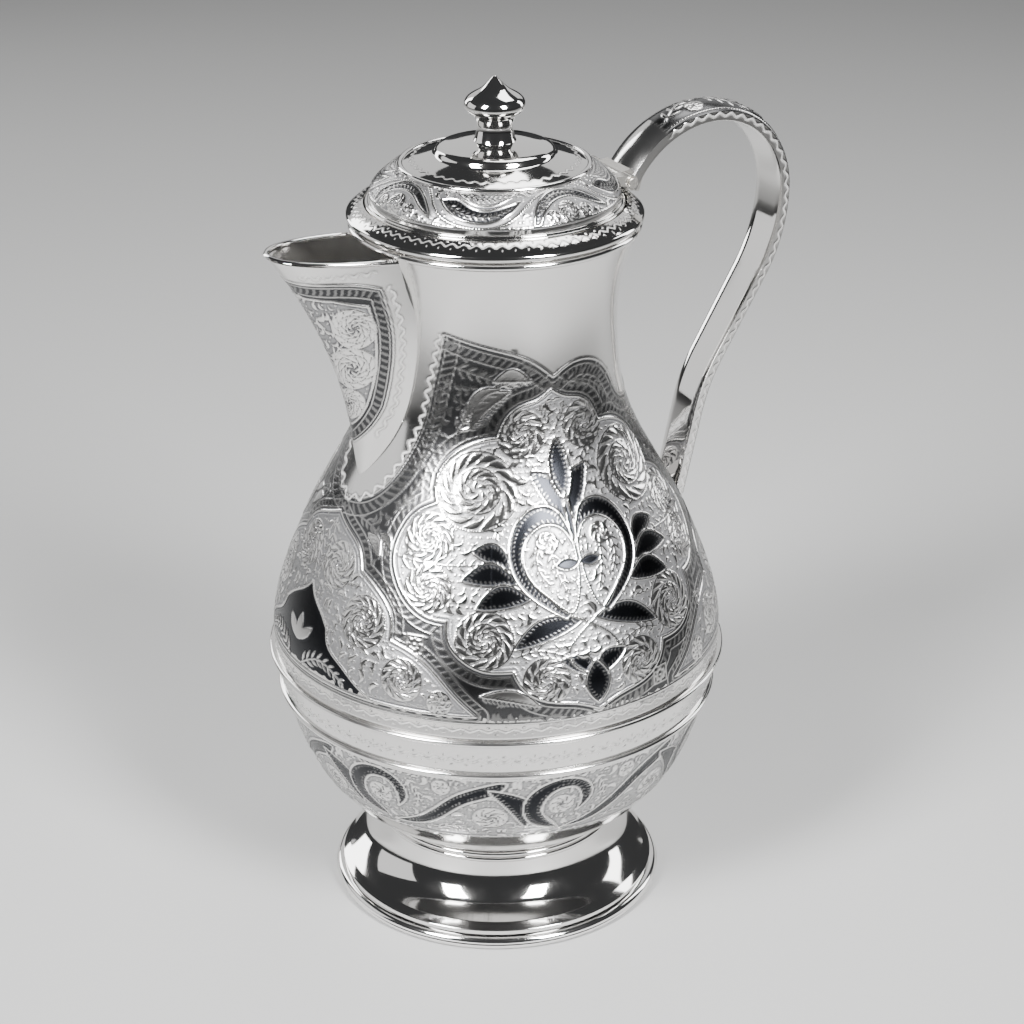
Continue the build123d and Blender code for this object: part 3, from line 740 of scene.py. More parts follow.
# %% Belly, shoulder and neck skins
skin_proud, skin_sunk = 0.12, 0.5


def half_way_round(angles):
    """Angles brought to the drawn half, -180 to 0 degrees, as one row."""
    return -np.abs((angles[None, :] + 180.0) % 360.0 - 180.0)


def in_ornament(section):
    """True at the heights that the body plate covers, as one column."""
    return (section[:, 1:] > ornament_low - 2) & (section[:, 1:] < ornament_top)


def body_relief(angles, section):
    """The body plate's relief, plus the skin's own thickness, on the outer rows only."""
    outer = section[:, :1] > body_radius(section[:, 1:]) - 0.01
    drawn = body_plate.relief(half_way_round(angles), section[:, 1:], in_ornament(section))
    return np.where(outer, skin_proud + drawn, 0.0)


def body_marks(angles, section):
    """The body plate's masks."""
    return body_plate.masks(half_way_round(angles), section[:, 1:], in_ornament(section))


def skin_section(low, high, rows):
    """Outer rows evenly along the body's side from low to high, and a few rows inside."""
    z = np.linspace(low, high, 400)
    outer = evenly(np.stack([body_radius(z), z], axis=1), rows)
    z = np.linspace(high, low, 9)
    return np.vstack([outer, np.stack([body_radius(z) - skin_sunk, z], axis=1)])


split_low, split_high = 160.0, 184.0
skins = []
for n, start in enumerate((-225.0, -135.0, -45.0, 45.0)):
    skins.append(turned(f"belly_chasing_{n + 1}", skin_section(band_high, split_low, 252), 312,
                        body_relief, body_marks, (start, start + 90.0), slot="engraved_silver"))
skins.append(turned("shoulder_chasing", skin_section(split_low, split_high, 86), 580,
                    body_relief, body_marks, slot="engraved_silver"))
skins.append(turned("neck_chasing", skin_section(split_high, 240.2, 156), 450, body_relief,
                    body_marks, (-163.0, 163.0), slot="engraved_silver"))

# %% [markdown]
# ## The bowl and the belly band
# The frieze round the bowl repeats seven times: a black drop that curls round a bright eye,
# and a long black leaf that climbs to the next one.  One repeat is drawn and carried round.

# %% Frieze plate
repeats = 7
period = 360.0 / repeats
bowl_points = [(40.6, 29.4), (48.5, 34.2), (56.2, 41.2), (65.3, 54.7), (70.7, 68.6), (73.0, 77.5)]
bowl_line = smooth_line(bowl_points, 500)


def bowl_radius(z):
    """Radius of the bowl's outside at a height."""
    return np.interp(z, bowl_line[:, 1], bowl_line[:, 0])


frieze_low, frieze_high = 48.6, 76.4
frieze = Plate((-8.0, period + 8.0), (44.0, 78.0), 0.2, 0.2,
               stretch=lambda z: np.radians(bowl_radius(z)),
               rise=lambda z: 1.0 + 0.5 * np.clip((66 - z) / 24, 0, 1))
field = (frieze.y > frieze_low) & (frieze.y < frieze_high)
frieze.frost[field] = 0.8
for shift in (-period, 0.0, period):
    def at(points):
        """Frieze points of one repeat, moved to their place."""
        return np.asarray(points, float) + (shift, 0.0)
    drop = smooth_line([(2.0, 51.6), (-6.0, 55.0), (-9.0, 63.5), (-5.4, 72.0), (2.0, 75.0),
                        (8.6, 71.6), (10.0, 64.0), (6.6, 59.0)], 40)
    eye = smooth_line([(6.6, 59.0), (7.2, 65.0), (4.4, 70.6), (0.6, 70.4), (-3.0, 66.0),
                       (-3.4, 60.0), (-0.4, 55.6), (2.0, 51.6)], 40)
    black_leaf(frieze, at(joined(drop, eye)), 0.45, 0.32)
    rosette(frieze, at([(1.6, 63.4)])[0], 4.0, 1, 7)
    crest = smooth_line([(3.0, 51.0), (11.0, 55.4), (20.0, 64.6), (29.0, 72.4), (38.0, 74.6),
                         (36.0, 71.0), (28.0, 66.0), (19.0, 57.0), (10.0, 51.6), (3.0, 51.0)], 60)
    black_leaf(frieze, at(crest), 0.45, 0.32)
    fall = leaf_shape((33.0, 72.0), (43.6, 53.6), 0.16, 0.16)
    black_leaf(frieze, at(fall), 0.4, 0.3)
    rosette(frieze, at([(33.4, 59.0)])[0], 5.4, -1, 8)
    rosette(frieze, at([(20.4, 71.8)])[0], 2.8, 1, 6)
    spray(frieze, smooth_line(at([(17.0, 50.6), (24.0, 54.0), (29.0, 51.6)]), 14), 3.0, 2.7)
    spray(frieze, smooth_line(at([(10.6, 73.6), (13.8, 67.0), (12.4, 61.0)]), 14), 3.0, 2.7)
inside_field = np.repeat(field[:, None], len(frieze.x), axis=1) & (frieze.frost > 0.3)
for spacing, size in ((3.2, 4.0), (2.3, 2.6), (1.8, 0)):
    fill_free(frieze, inside_field & (frieze.niello < 0.1), spacing, size,
              lambda x, y: 7.0 * x + 4.0 * y)
for height in (frieze_low, frieze_high):
    frieze.stroke([(frieze.x[0], height), (frieze.x[-1], height)], 0.5, 0.32, bead=1.1)
frieze.paint_hollow_shade()


def frieze_marks(angles, section):
    """Masks of the frieze, repeated round the bowl's outer rows."""
    outer = section[:, :1] > bowl_radius(section[:, 1:]) - 0.3
    return frieze.masks(angles[None, :] % period, section[:, 1:], outer)


def frieze_relief(angles, section):
    """Relief of the frieze on the bowl's outer rows."""
    outer = section[:, :1] > bowl_radius(section[:, 1:]) - 0.3
    return frieze.relief(angles[None, :] % period, section[:, 1:], outer)


wall = 1.2
frieze_z = np.linspace(45.0, 77.4, 300)
plain_z = np.linspace(29.4, 44.4, 10)
outer_bowl = joined(np.stack([bowl_radius(plain_z), plain_z], axis=1),
                    evenly(np.stack([bowl_radius(frieze_z), frieze_z], axis=1), 104),
                    [(74.6, 85.3), (74.6 - wall, 85.3)])
inner_z = np.linspace(77.4, 31.5, 10)
inner_bowl = np.stack([bowl_radius(inner_z) - wall * 1.15, inner_z], axis=1)
bowl_section = joined(outer_bowl, inner_bowl, [(38.0, 32.8), (20.0, 32.8), (4.0, 32.8), (4.0, 31.6),
                                               (20.0, 31.5), (38.0, 30.6), (40.0, 29.6)])
bowl = turned("bowl", bowl_section, 728, frieze_relief, frieze_marks, slot="engraved_silver")
base_plate = turned("bowl_bottom", [(4.4, 31.55), (4.4, 32.85), (0.0, 32.85), (0.0, 31.55)], 48,
                    slot="engraved_silver", weld=True)
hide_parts("lower_bowl")
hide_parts("lower_bowl")

# %% [markdown]
# ## Wavy lines
# A wriggled line is cut by rocking a flat graver from corner to corner.  It runs round the
# lid, the band and the neck of the zone, with a punched dot in each bend.

# %% Wriggled rings
def wriggle_ring(angles, across, waves, middle, swing, width=0.42, dots=0.0):
    """Height of a wave round a ring, from 0 to 1, with a dot in each bend.

    The ridge is exp(-((x - middle - swing sin(n a)) / width)^2), and each dot is a
    rounded point a little beyond the wave on its concave side.
    """
    a = np.radians(angles)[None, :]
    wave = middle + swing * np.sin(waves * a)
    ridge = np.exp(-((across[:, None] - wave) / width) ** 2)
    if dots:
        side = np.sign(np.sin(waves * a))
        bead = np.exp(-((across[:, None] - middle + side * dots) / 0.3) ** 2)
        ridge = np.maximum(ridge, bead * np.clip(np.abs(np.sin(waves * a)) * 9 - 8, 0, 1))
    return ridge


def band_cone(z):
    """Radius of the cone that the belly band lies on."""
    return belly_radius - (band_high - z) * (belly_radius - 73.0) / (band_high - band_low)


def bead_row(centre_z, proud, radius, count=14):
    """Section of a round ridge that stands on the band."""
    return arc((band_cone(centre_z) + proud, centre_z), radius, -80, 80, count)


band_low_z, band_top_z = band_low + 0.3, band_high - 0.2
band_z = np.linspace(band_low + 2.6, band_high - 2.6, 30)
band_section = joined([(band_cone(band_low_z) - 0.1, band_low_z)], bead_row(78.8, 1.1, 1.0),
                      np.stack([band_cone(band_z) + 0.7, band_z], axis=1),
                      bead_row(92.1, 1.1, 1.0), [(band_cone(band_top_z) - 0.1, band_top_z)])


def band_relief(angles, section):
    """A wriggled line with dots along the band's middle."""
    flat = (section[:, 1] > band_low + 2.7) & (section[:, 1] < band_high - 2.7)
    ridge = wriggle_ring(angles, section[:, 1], 96, 85.0, 0.5, 0.3, 1.7)
    return 0.16 * ridge * flat[:, None]


def ring_marks(relief, height):
    """A bright cut along a wriggled line, with painted shade beside it."""
    def marks(angles, section):
        """The cut lies on the ridge, and the painted shade on its flanks."""
        lift = relief(angles, section) / height
        return {"cut": np.clip(1.6 * lift - 0.2, 0, 1),
                "hollow": np.clip(4 * lift * (1 - lift), 0, 1) * (lift < 0.4)}
    return marks


band = turned("belt", band_section, 880, band_relief, ring_marks(band_relief, 0.16),
              slot="engraved_silver")
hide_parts("belly_band")


def neckline_relief(angles, section):
    """The wave and dashes between the band and the ornament's lowest line."""
    outer = section[:, 0] > body_radius(section[:, 1]) - 0.01
    ridge = wriggle_ring(angles, section[:, 1], 84, 96.6, 0.45, 0.3, 1.2)
    return np.where(outer[:, None], 0.16 * ridge + 0.02, 0.3)


ring_z = np.linspace(94.2, 98.6, 22)
ring_section = np.vstack([np.stack([body_radius(ring_z) + skin_proud, ring_z], axis=1),
                          np.stack([body_radius(ring_z[::-4]) - 0.1, ring_z[::-4]], axis=1)])
turned("dash_ring", ring_section, 900, neckline_relief, ring_marks(neckline_relief, 0.18),
       slot="engraved_silver")

# %% [markdown]
# ## Foot, collar and mouth wire
# These are spun and polished.  A fine section keeps their reflections smooth.

# %% Turned and polished pieces of the body
foot_curve = smooth_line([(40.6, 25.6), (41.6, 19.5), (45.6, 12.8), (52.6, 8.2)], 60)
inner_foot = foot_curve[::-1] - np.array([0.9, 0.9]) * np.linspace(1.3, 1.0, 60)[:, None]
foot = turned("foot_flare", joined(
    [(55.0, 4.7), (55.0, 6.2)], arc((54.6, 6.2), 0.4, 0, 80, 5), foot_curve[::-1],
    [(39.4, 25.6)], inner_foot[::-1], [(51.4, 6.9), (52.8, 4.7)]), 216,
    slot="polished_silver")
foot_wire = turned("foot_rim", joined(
    [(52.0, 0.0), (55.4, 0.0)], arc((55.4, 2.2), 2.2, -80, 0, 10),
    arc((55.3, 2.4), 2.1, 0, 90, 12),
    [(53.4, 4.6), (51.4, 3.9), (51.4, 0.7)]), 360, slot="silver_wire")
collar = turned("foot_knop", joined(
    [(40.0, 25.4), (41.0, 25.7)], arc((41.6, 26.6), 1.0, -80, 85, 12),
    arc((41.4, 28.4), 1.0, -85, 80, 12),
    [(41.2, 29.4), (38.4, 29.4), (38.4, 25.4)]), 360, slot="polished_silver")
mouth_wire = turned("mouth_wire", joined(
    arc((46.3, 241.4), 1.1, -80, 80, 16), arc((45.6, 241.7), 1.15, 90, 180, 10), [(44.5, 240.3)]),
    360, slot="silver_wire")
for piece, node in ((foot, "foot"), (foot_wire, "foot_edge_wire"), (collar, "foot_collar"),
                    (mouth_wire, "neck_lip_wire")):
    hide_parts(node)

# %% [markdown]
# ## The lid
# The lid opens on its hinge, and a part of the flange beside the hinge stays on the body and
# carries the handle.  So the flange is an inner ring and two outer parts that meet at
# radial joints.

# %% Lid plate
lid_repeats = 4
lid_period = 360.0 / lid_repeats
dome_curve = evenly(smooth_line([(40.4, 251.0), (38.8, 254.3), (36.0, 256.9), (32.9, 259.2),
                                 (29.4, 260.5)], 80), 60)
dome_run = lengths(dome_curve)
lid_plate = Plate((-10.0, lid_period + 10.0), (0.0, dome_run[-1]), 0.3, 0.18,
                  stretch=lambda s: np.radians(np.interp(s, dome_run, dome_curve[:, 0])))
lid_plate.frost[:] = 0.9
for lobe in (8.0 - lid_period, 8.0, 8.0 + lid_period):
    def on_lid(points):
        """Lid points given from the middle of a lobe."""
        return np.asarray(points, float) + (lobe, 0.0)
    arch = smooth_line([(23.0, 2.6), (15.0, 5.2), (8.0, 8.2), (0.0, 9.4), (-8.0, 8.0),
                        (-13.5, 4.8), (-16.5, 1.2)], 30)
    crescent = joined(smooth_line([(-19.5, 1.2), (-17.6, 5.6), (-11.5, 10.4), (-2.0, 12.7),
                                   (8.0, 11.6), (17.0, 7.6), (23.0, 2.6)], 30), arch)
    black_leaf(lid_plate, on_lid(crescent), 0.42, 0.3)
    lid_plate.stroke(on_lid(arch), 0.5, 0.36, bead=1.0)
    boat = joined(smooth_line([(24.0, 9.4), (31.0, 5.2), (40.0, 2.9), (50.0, 2.7), (59.0, 5.2),
                               (66.0, 9.8)], 30),
                  smooth_line([(66.0, 9.8), (58.0, 8.3), (50.0, 6.9), (42.0, 7.6), (34.0, 10.4),
                               (24.0, 9.4)], 30))
    black_leaf(lid_plate, on_lid(boat), 0.42, 0.3)
    spray(lid_plate, smooth_line(on_lid([(29, 7.9), (39, 5.2), (50, 4.6), (61, 7.4)]), 18),
          2.0, 1.9, 0.12, 0.6, 0.2)
    spray(lid_plate, smooth_line(on_lid([(-16.2, 4.6), (-10, 9.4), (-1, 11.2), (8, 10.0)]), 18),
          1.9, 1.8, 0.12, 0.6, 0.2)
    cord = smooth_line([(10.0, 14.4), (16.0, 11.4), (21.5, 7.0), (29.0, 3.0), (40.0, 0.9),
                        (51.0, 0.9), (61.0, 3.4), (70.5, 8.8), (80.0, 12.2), (96.0, 14.5)], 60)
    lid_plate.stroke(on_lid(cord), 0.55, 0.4, bead=1.0)
    rosette(lid_plate, on_lid([(-0.5, 4.2)])[0], 3.5, 1, 9)
    rosette(lid_plate, on_lid([(-9.8, 3.2)])[0], 2.0, -1, 6)
    rosette(lid_plate, on_lid([(9.2, 3.2)])[0], 2.2, -1, 6)
    bright = joined(smooth_line([(33.0, 12.4), (42.0, 9.0), (52.0, 8.6), (64.0, 12.6)], 20),
                    smooth_line([(64.0, 12.6), (52.0, 12.9), (33.0, 12.4)], 12))
    lid_plate.stroke(on_lid(bright), 0.4, 0.34)
    spray(lid_plate, smooth_line(on_lid([(36, 12.0), (48, 10.8), (61, 11.8)]), 14), 2.4, 1.7)
for spacing, size in ((2.6, 3.0), (1.9, 2.0), (1.5, 0)):
    fill_free(lid_plate, (lid_plate.frost > 0.3) & (lid_plate.y[:, None] > 0.9), spacing, size,
              lambda x, y: 5.0 * x + 9.0 * y)
for edge in (0.8, dome_run[-1] - 0.7):
    lid_plate.stroke([(-10, edge), (lid_period + 10, edge)], 0.42, 0.28, bead=0.9)
lid_plate.paint_hollow_shade()

dome_section = joined([(40.3, 249.3)], dome_curve, [(29.4, 259.6)],
                      evenly(dome_curve, 14)[::-1] * (0.977, 1.0) - (0.0, 0.7), [(39.4, 249.3)])
dome_at = np.concatenate([[0.0], dome_run, np.full(len(dome_section) - len(dome_run) - 1, -9.0)])


def dome_relief(angles, section):
    """The lid plate's relief on the dome's outer rows."""
    run = dome_at[:, None]
    return lid_plate.relief(angles[None, :] % lid_period, run, run > 0.01)


def dome_marks(angles, section):
    """The lid plate's masks on the dome's outer rows."""
    run = dome_at[:, None]
    return lid_plate.masks(angles[None, :] % lid_period, run, run > 0.01)


dome = turned("lid_crown", dome_section, 760, dome_relief, dome_marks, body="lid",
              slot="engraved_silver")
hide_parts("lid_dome")

# %% Flange
lid_under = 243.2
flange_top = joined(arc((46.6, 244.4), 1.35, -50, 62, 14),
                    smooth_line([(47.0, 245.8), (45.6, 246.9), (43.9, 247.8), (42.3, 248.4)], 30))


def flange_relief(angles, section):
    """A wriggled line with dots on the slope of the flange."""
    top = (section[:, 1] > 246.0) & (section[:, 0] > 42.4)
    return 0.1 * wriggle_ring(angles, section[:, 0], 72, 44.6, 0.52, 0.3, 1.25) * top[:, None]


outer_ring = joined([(42.3, lid_under), (47.3, lid_under)], flange_top, [(42.2, 248.3)])
rear = 46.0
play = 0.5
moving_rim = turned("lid_rim", outer_ring, 760, flange_relief, ring_marks(flange_relief, 0.1),
                    (rear + play, 360 - rear - play), body="lid", slot="polished_silver")
fixed_rim = turned("hinge_seat_rim", joined([(42.2, lid_under - 0.3), (47.0, lid_under - 0.3)],
                                            outer_ring[1:]), 260, flange_relief,
                   ring_marks(flange_relief, 0.1), (-rear, rear), slot="polished_silver")
inner_ring = joined([(38.8, lid_under), (41.8, lid_under), (41.8, 248.3)],
                    arc((41.35, 248.45), 0.45, 0, 120, 7), arc((40.45, 249.0), 0.55, -10, 160, 8),
                    [(38.8, 249.2)])
step_ring = turned("lid_step", inner_ring, 420, body="lid", slot="polished_silver")
bezel = turned("lid_collar", [(41.3, 237.2), (41.9, lid_under), (40.9, lid_under), (40.3, 237.2)],
               240, body="lid", slot="inner_silver")
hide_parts("lid_flange")
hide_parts("lid_flange")
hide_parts("hinge_seat")
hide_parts("lid_bezel")

# %% Cap, its wire and the finial
cap_curve = joined(smooth_line([(29.8, 261.0), (27.6, 261.8), (25.0, 262.6), (22.0, 263.5),
                                (19.9, 264.1)], 44),
                   smooth_line([(19.9, 264.1), (19.3, 264.7), (19.0, 265.6), (18.2, 266.3),
                                (16.0, 266.9), (12.0, 267.7), (6.0, 268.3), (0.0, 268.6)], 32))


def cap_relief(angles, section):
    """A wriggled line near the edge of the cap."""
    top = np.arange(len(section)) < len(cap_curve)
    ring = wriggle_ring(angles, section[:, 0], 44, 26.6, 0.45, 0.3, 0.0)
    return 0.1 * ring * (top & (section[:, 0] > 22))[:, None]


cap = turned("lid_cap_disc", joined(cap_curve, (evenly(cap_curve, 20) - (0, 0.9))[::-1]), 440,
             cap_relief, ring_marks(cap_relief, 0.1), body="lid", slot="polished_silver", weld=True)
binding = turned("cap_binding", arc((30.2, 260.7), 0.95, 0, 345, 20), 360, body="lid",
                 slot="silver_wire")
stem = smooth_line([(8.4, 266.8), (7.3, 267.6), (6.5, 268.9), (6.1, 270.4), (5.8, 272.0),
                    (6.0, 274.2), (6.7, 276.0), (7.7, 277.0)], 50)
knob = smooth_line([(7.7, 277.0), (9.0, 277.9), (9.75, 279.6), (9.2, 281.6), (7.3, 283.2),
                    (4.9, 284.6), (2.6, 286.6), (1.1, 288.2), (0.4, 288.9)], 70)
finial = turned("finial_knob", joined([(0.0, 266.4), (8.0, 266.4)], stem, knob, [(0.0, 289.0)]), 144,
                body="lid", slot="polished_silver", weld=True)
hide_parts("lid_cap")
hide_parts("cap_wire")
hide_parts("finial")


# %% [markdown]
# ## The spout
# The spout is one sheet, bent to a keel.  Each level section is a blunt arch: with an angle f
# from -90 to 90 degrees, the way along the spout is |cos f|^(2/p) and the way across is
# sin f.  It stops where it meets the neck.  A pointed panel of ornament covers each side.

# %% Spout surface
levels = np.array([(156.0, 49.5, 3.0, 2.0), (168.0, 51.6, 9.0, 2.0), (181.0, 52.8, 12.4, 2.2),
                   (197.0, 56.4, 14.4, 2.6), (213.0, 62.6, 15.5, 3.0), (228.0, 70.4, 15.6, 3.6),
                   (246.0, 83.0, 15.8, 4.0)])
level_line = smooth_line(levels, 300)
spout_root, spout_wall = 30.0, 1.1
rim_low, rim_high, spout_tip, neck_mouth = 239.2, 241.7, 79.2, 47.4


def spout_level(z, f, inset):
    """Reach from the axis and way across at a height, an angle and a wall's inset."""
    keel, half, blunt = (np.interp(z, level_line[:, 0], level_line[:, c]) for c in (1, 2, 3))
    reach = spout_root + (keel - inset - spout_root) * np.abs(np.cos(f)) ** (2 / blunt)
    return reach, (half - inset) * np.sin(f)


def spout_face(rows, columns, inset, start, lift=0.0):
    """Grid of the spout's face from the neck to the sloping rim, for one inset."""
    level = np.linspace(start, 240.5 + lift, rows)
    f = np.linspace(0, np.pi / 2, 400)[None, :]
    reach, across = spout_level(level[:, None], f, inset)
    outside = np.hypot(reach, across) > body_radius(level)[:, None] - 0.6
    edge = f[0][np.maximum(outside.sum(axis=1) - 1, 6)]
    angle = edge[:, None] * np.linspace(-1, 1, columns)[None, :]
    z = np.repeat(level[:, None], columns, axis=1)
    for _ in range(3):
        reach, across = spout_level(z, angle, inset)
        rim = rim_low + (rim_high - rim_low) * (reach - neck_mouth) / (spout_tip - neck_mouth)
        z = start + (level[:, None] - start) / (240.5 + lift - start) * (rim + lift - start)
    return np.stack([-reach, -across, z], axis=-1)


def edge_lengths(face):
    """Length along each row from its points to the nearer edge."""
    step = np.linalg.norm(np.diff(face, axis=1), axis=2)
    run = np.concatenate([np.zeros((len(face), 1)), np.cumsum(step, axis=1)], axis=1)
    return np.minimum(run, run[:, -1:] - run)


# %% Spout plate, in millimetres from the neck's edge and of height
spout_start = 163.0
spout_rows, spout_columns = 250, 240
outer_face = spout_face(spout_rows, spout_columns, 0.0, spout_start)
from_edge = edge_lengths(outer_face)
spout_plate = Plate((0.0, 40.0), (160.0, 243.0), 0.2, 0.2)
cartouche = joined(smooth_line([(9.6, 231.5), (9.2, 216.0), (8.8, 202.0), (8.6, 190.0)], 20),
                   smooth_line([(8.6, 190.0), (10.5, 181.0), (14.0, 174.0), (19.0, 169.0)], 16),
                   [(42.0, 169.0), (42.0, 234.5)],
                   smooth_line([(24.0, 234.5), (16.0, 233.5), (9.6, 231.5)], 10))
dark = spout_plate.inside(cartouche)
spout_plate.niello[dark], spout_plate.height[dark] = 0.95, -0.06
inner_panel = joined(smooth_line([(15.4, 226.0), (14.6, 212.0), (14.0, 200.0), (14.4, 190.0)], 20),
                     smooth_line([(14.4, 190.0), (16.0, 184.0), (21.0, 178.5)], 12),
                     [(42.0, 178.5), (42.0, 229.0)], smooth_line([(26.0, 228.6), (15.4, 226.0)], 8))
hatched_border(spout_plate, cartouche, dark, 1.1, 3.2)
lit = spout_plate.inside(inner_panel)
spout_plate.niello[lit], spout_plate.frost[lit], spout_plate.height[lit] = 0.0, 1.0, -0.05
spout_plate.stroke(inner_panel, 0.5, 0.34, bead=1.0)
spout_plate.stroke(cartouche, 0.42, 0.26)
for place, radius, hand in (((21.4, 218.6), 4.6, 1), ((21.4, 203.6), 5.0, -1),
                            ((21.0, 189.4), 3.9, 1)):
    rosette(spout_plate, place, radius, hand, 9, 1.4)
for row in (222.0, 210.8, 197.0, 186.0):
    spray(spout_plate, [(28.5, row - 4), (26.6, row), (24.0, row + 3)], 3.2, 2.8)
for spacing, size in ((3.2, 4.0), (2.3, 2.6), (1.8, 0)):
    fill_free(spout_plate, lit, spacing, size, lambda x, y: 12.0 * x + 6.0 * y)
for path in ([(6.3, 232), (6.0, 215), (5.4, 190), (7.0, 179)],
             [(9.0, 237.2), (24.0, 237.2), (34.0, 237.2)]):
    spout_plate.stroke(wriggle(np.array(path), 1.0, 0.7, 4.2), 0.36, 0.14, bright=1.0)
spout_plate.paint_hollow_shade()

face_x, face_z = from_edge, outer_face[..., 2]
fade = np.clip((rim_low - 1.0 - face_z) / 1.5, 0, 1)
height = spout_plate.sample(face_x, face_z)[0]
inner_rows = 24
plain = np.zeros(inner_rows * spout_columns)
spout_masks = {mark: np.concatenate([layer.ravel(), plain])
               for mark, layer in spout_plate.masks(face_x, face_z, fade).items()}
across_step = np.gradient(outer_face, axis=1)
up_step = np.gradient(outer_face, axis=0)
outward = np.cross(up_step, across_step)
outward /= np.maximum(np.linalg.norm(outward, axis=2), 1e-9)[..., None]
outward *= np.sign(-outward[:, spout_columns // 2, 0].mean())
inner_face = spout_face(inner_rows, spout_columns, spout_wall, spout_start)
wall_points = np.vstack([(outer_face + outward * (height * fade)[..., None]).reshape(-1, 3),
                         inner_face[::-1].reshape(-1, 3)])
spout_faces = grid_faces(spout_rows + inner_rows, spout_columns, True, False)
left = (np.arange(spout_rows + inner_rows) * spout_columns).tolist()
spout_faces += [left, [k + spout_columns - 1 for k in reversed(left)]]
spout = make_mesh("spout_sheet", wall_points, spout_faces, spout_masks, slot="engraved_silver")
rim_columns = 160
outer_rim = spout_face(60, rim_columns, -0.5, spout_start)[-4:]
inner_rim = spout_face(60, rim_columns, spout_wall + 0.1, spout_start)[-4:]
outer_edge, inner_edge = outer_rim[-1], inner_rim[-1]
under_edge = np.column_stack([outer_rim[0][:, :2], outer_edge[:, 2] - 0.4])


def between(share, up):
    """A row of the rim's top: a share of the way inwards, and raised."""
    return outer_edge * (1 - share) + inner_edge * share + (0, 0, up)


rim_section = np.stack([under_edge, between(0.0, 0.7), between(0.25, 1.35), between(0.7, 1.45),
                        between(1.0, 0.8), between(1.0, -0.4)])
rim_faces = grid_faces(len(rim_section), rim_columns, True, False)
ends = (np.arange(len(rim_section)) * rim_columns).tolist()
rim_faces += [ends, [k + rim_columns - 1 for k in reversed(ends)]]
spout_rim = make_mesh("spout_rim", rim_section.reshape(-1, 3), rim_faces, slot="silver_wire",
                      sharp=75.0)
face_outwards(spout)
face_outwards(spout_rim)
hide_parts("spout")
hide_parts("spout_rim_wire")

# %% [markdown]
# ## The handle
# The handle's line is a chain of arcs that meet without a corner, so the heading changes
# evenly along each one.  Adding up small steps along the heading gives the line.  A flat
# strap faces the hand, and a hollow shell with a rounded back closes it from outside.

# %% Handle line
def heading_line(start, heading, arcs, step=0.25):
    """A line from a start, a heading in degrees and a list of (length, turn in degrees)."""
    x, z, angle = [start[0]], [start[1]], [heading]
    for length, turn in arcs:
        count = max(int(length / step), 2)
        bend = angle[-1] + turn * (np.arange(1, count + 1) / count)
        middle = np.radians(bend - 0.5 * turn / count)
        x += (x[-1] + np.cumsum(np.cos(middle)) * length / count).tolist()
        z += (z[-1] + np.cumsum(np.sin(middle)) * length / count).tolist()
        angle += bend.tolist()
    return np.array([x, z]).T, np.array(angle)


arch_x, arch_top = 78.5, 264.8
rise, turn_over, fall, sweep_in = (33.3, 64.0), (27.9, 90.0), (54.0, 31.0), (70.0, 18.0)
start = (arch_x - rise[0] * np.sin(np.radians(rise[1])),
         arch_top - rise[0] * (1 - np.cos(np.radians(rise[1]))))
around = [(r * np.radians(t), -t) for r, t in (rise, turn_over, fall)]
around += [(31.5, 0.0), (sweep_in[0] * np.radians(sweep_in[1]), sweep_in[1]), (46.0, 0.0)]
handle_line, handle_heading = heading_line(start, rise[1], around)
at_body = handle_line[:, 0] < body_radius(handle_line[:, 1]) + 0.7
stop = np.argmax((handle_line[:, 1] < 180) & at_body)
handle_line, handle_heading = handle_line[:stop], handle_heading[:stop]
handle_run = lengths(handle_line)
print("handle line:", round(handle_run[-1], 1), "mm")


def handle_bar(name, section, stations, relief=None, marks=None, **about):
    """A closed section carried along the handle's line.

    Section points are (across as a share of the half width, height above the inner face).
    The half width narrows from 8.1 at the top end to 6.9 at the foot.
    """
    s = np.linspace(0, handle_run[-1], stations)
    x, z = np.interp(s, handle_run, handle_line[:, 0]), np.interp(s, handle_run, handle_line[:, 1])
    h = np.radians(np.interp(s, handle_run, handle_heading))
    half = 8.1 - 1.2 * s / handle_run[-1]
    outward = np.stack([-np.sin(h), np.zeros_like(h), np.cos(h)], axis=1)
    section = np.asarray(section, float)
    shape = section * (half.mean(), 1.0)
    on = np.roll(shape, -1, axis=0) - np.roll(shape, 1, axis=0)
    normal = np.stack([-on[:, 1], on[:, 0]], axis=1)
    normal /= np.linalg.norm(normal, axis=1)[:, None]
    push = relief(s, section) if relief else np.zeros((len(s), len(section)))
    across = section[None, :, 0] * half[:, None] + normal[None, :, 0] * push
    above = section[None, :, 1] + normal[None, :, 1] * push
    points = (np.stack([x, 0 * x, z], axis=1)[:, None] + outward[:, None] * above[..., None]
              + np.array([0.0, 1.0, 0.0]) * across[..., None])
    count = len(section)
    faces = grid_faces(stations, count, False, True)
    faces += [list(range(count))[::-1], list(range((stations - 1) * count, stations * count))]
    piece = make_mesh(name, points.reshape(-1, 3), faces, marks(s, section) if marks else None,
                      **about)
    face_outwards(piece)
    return piece


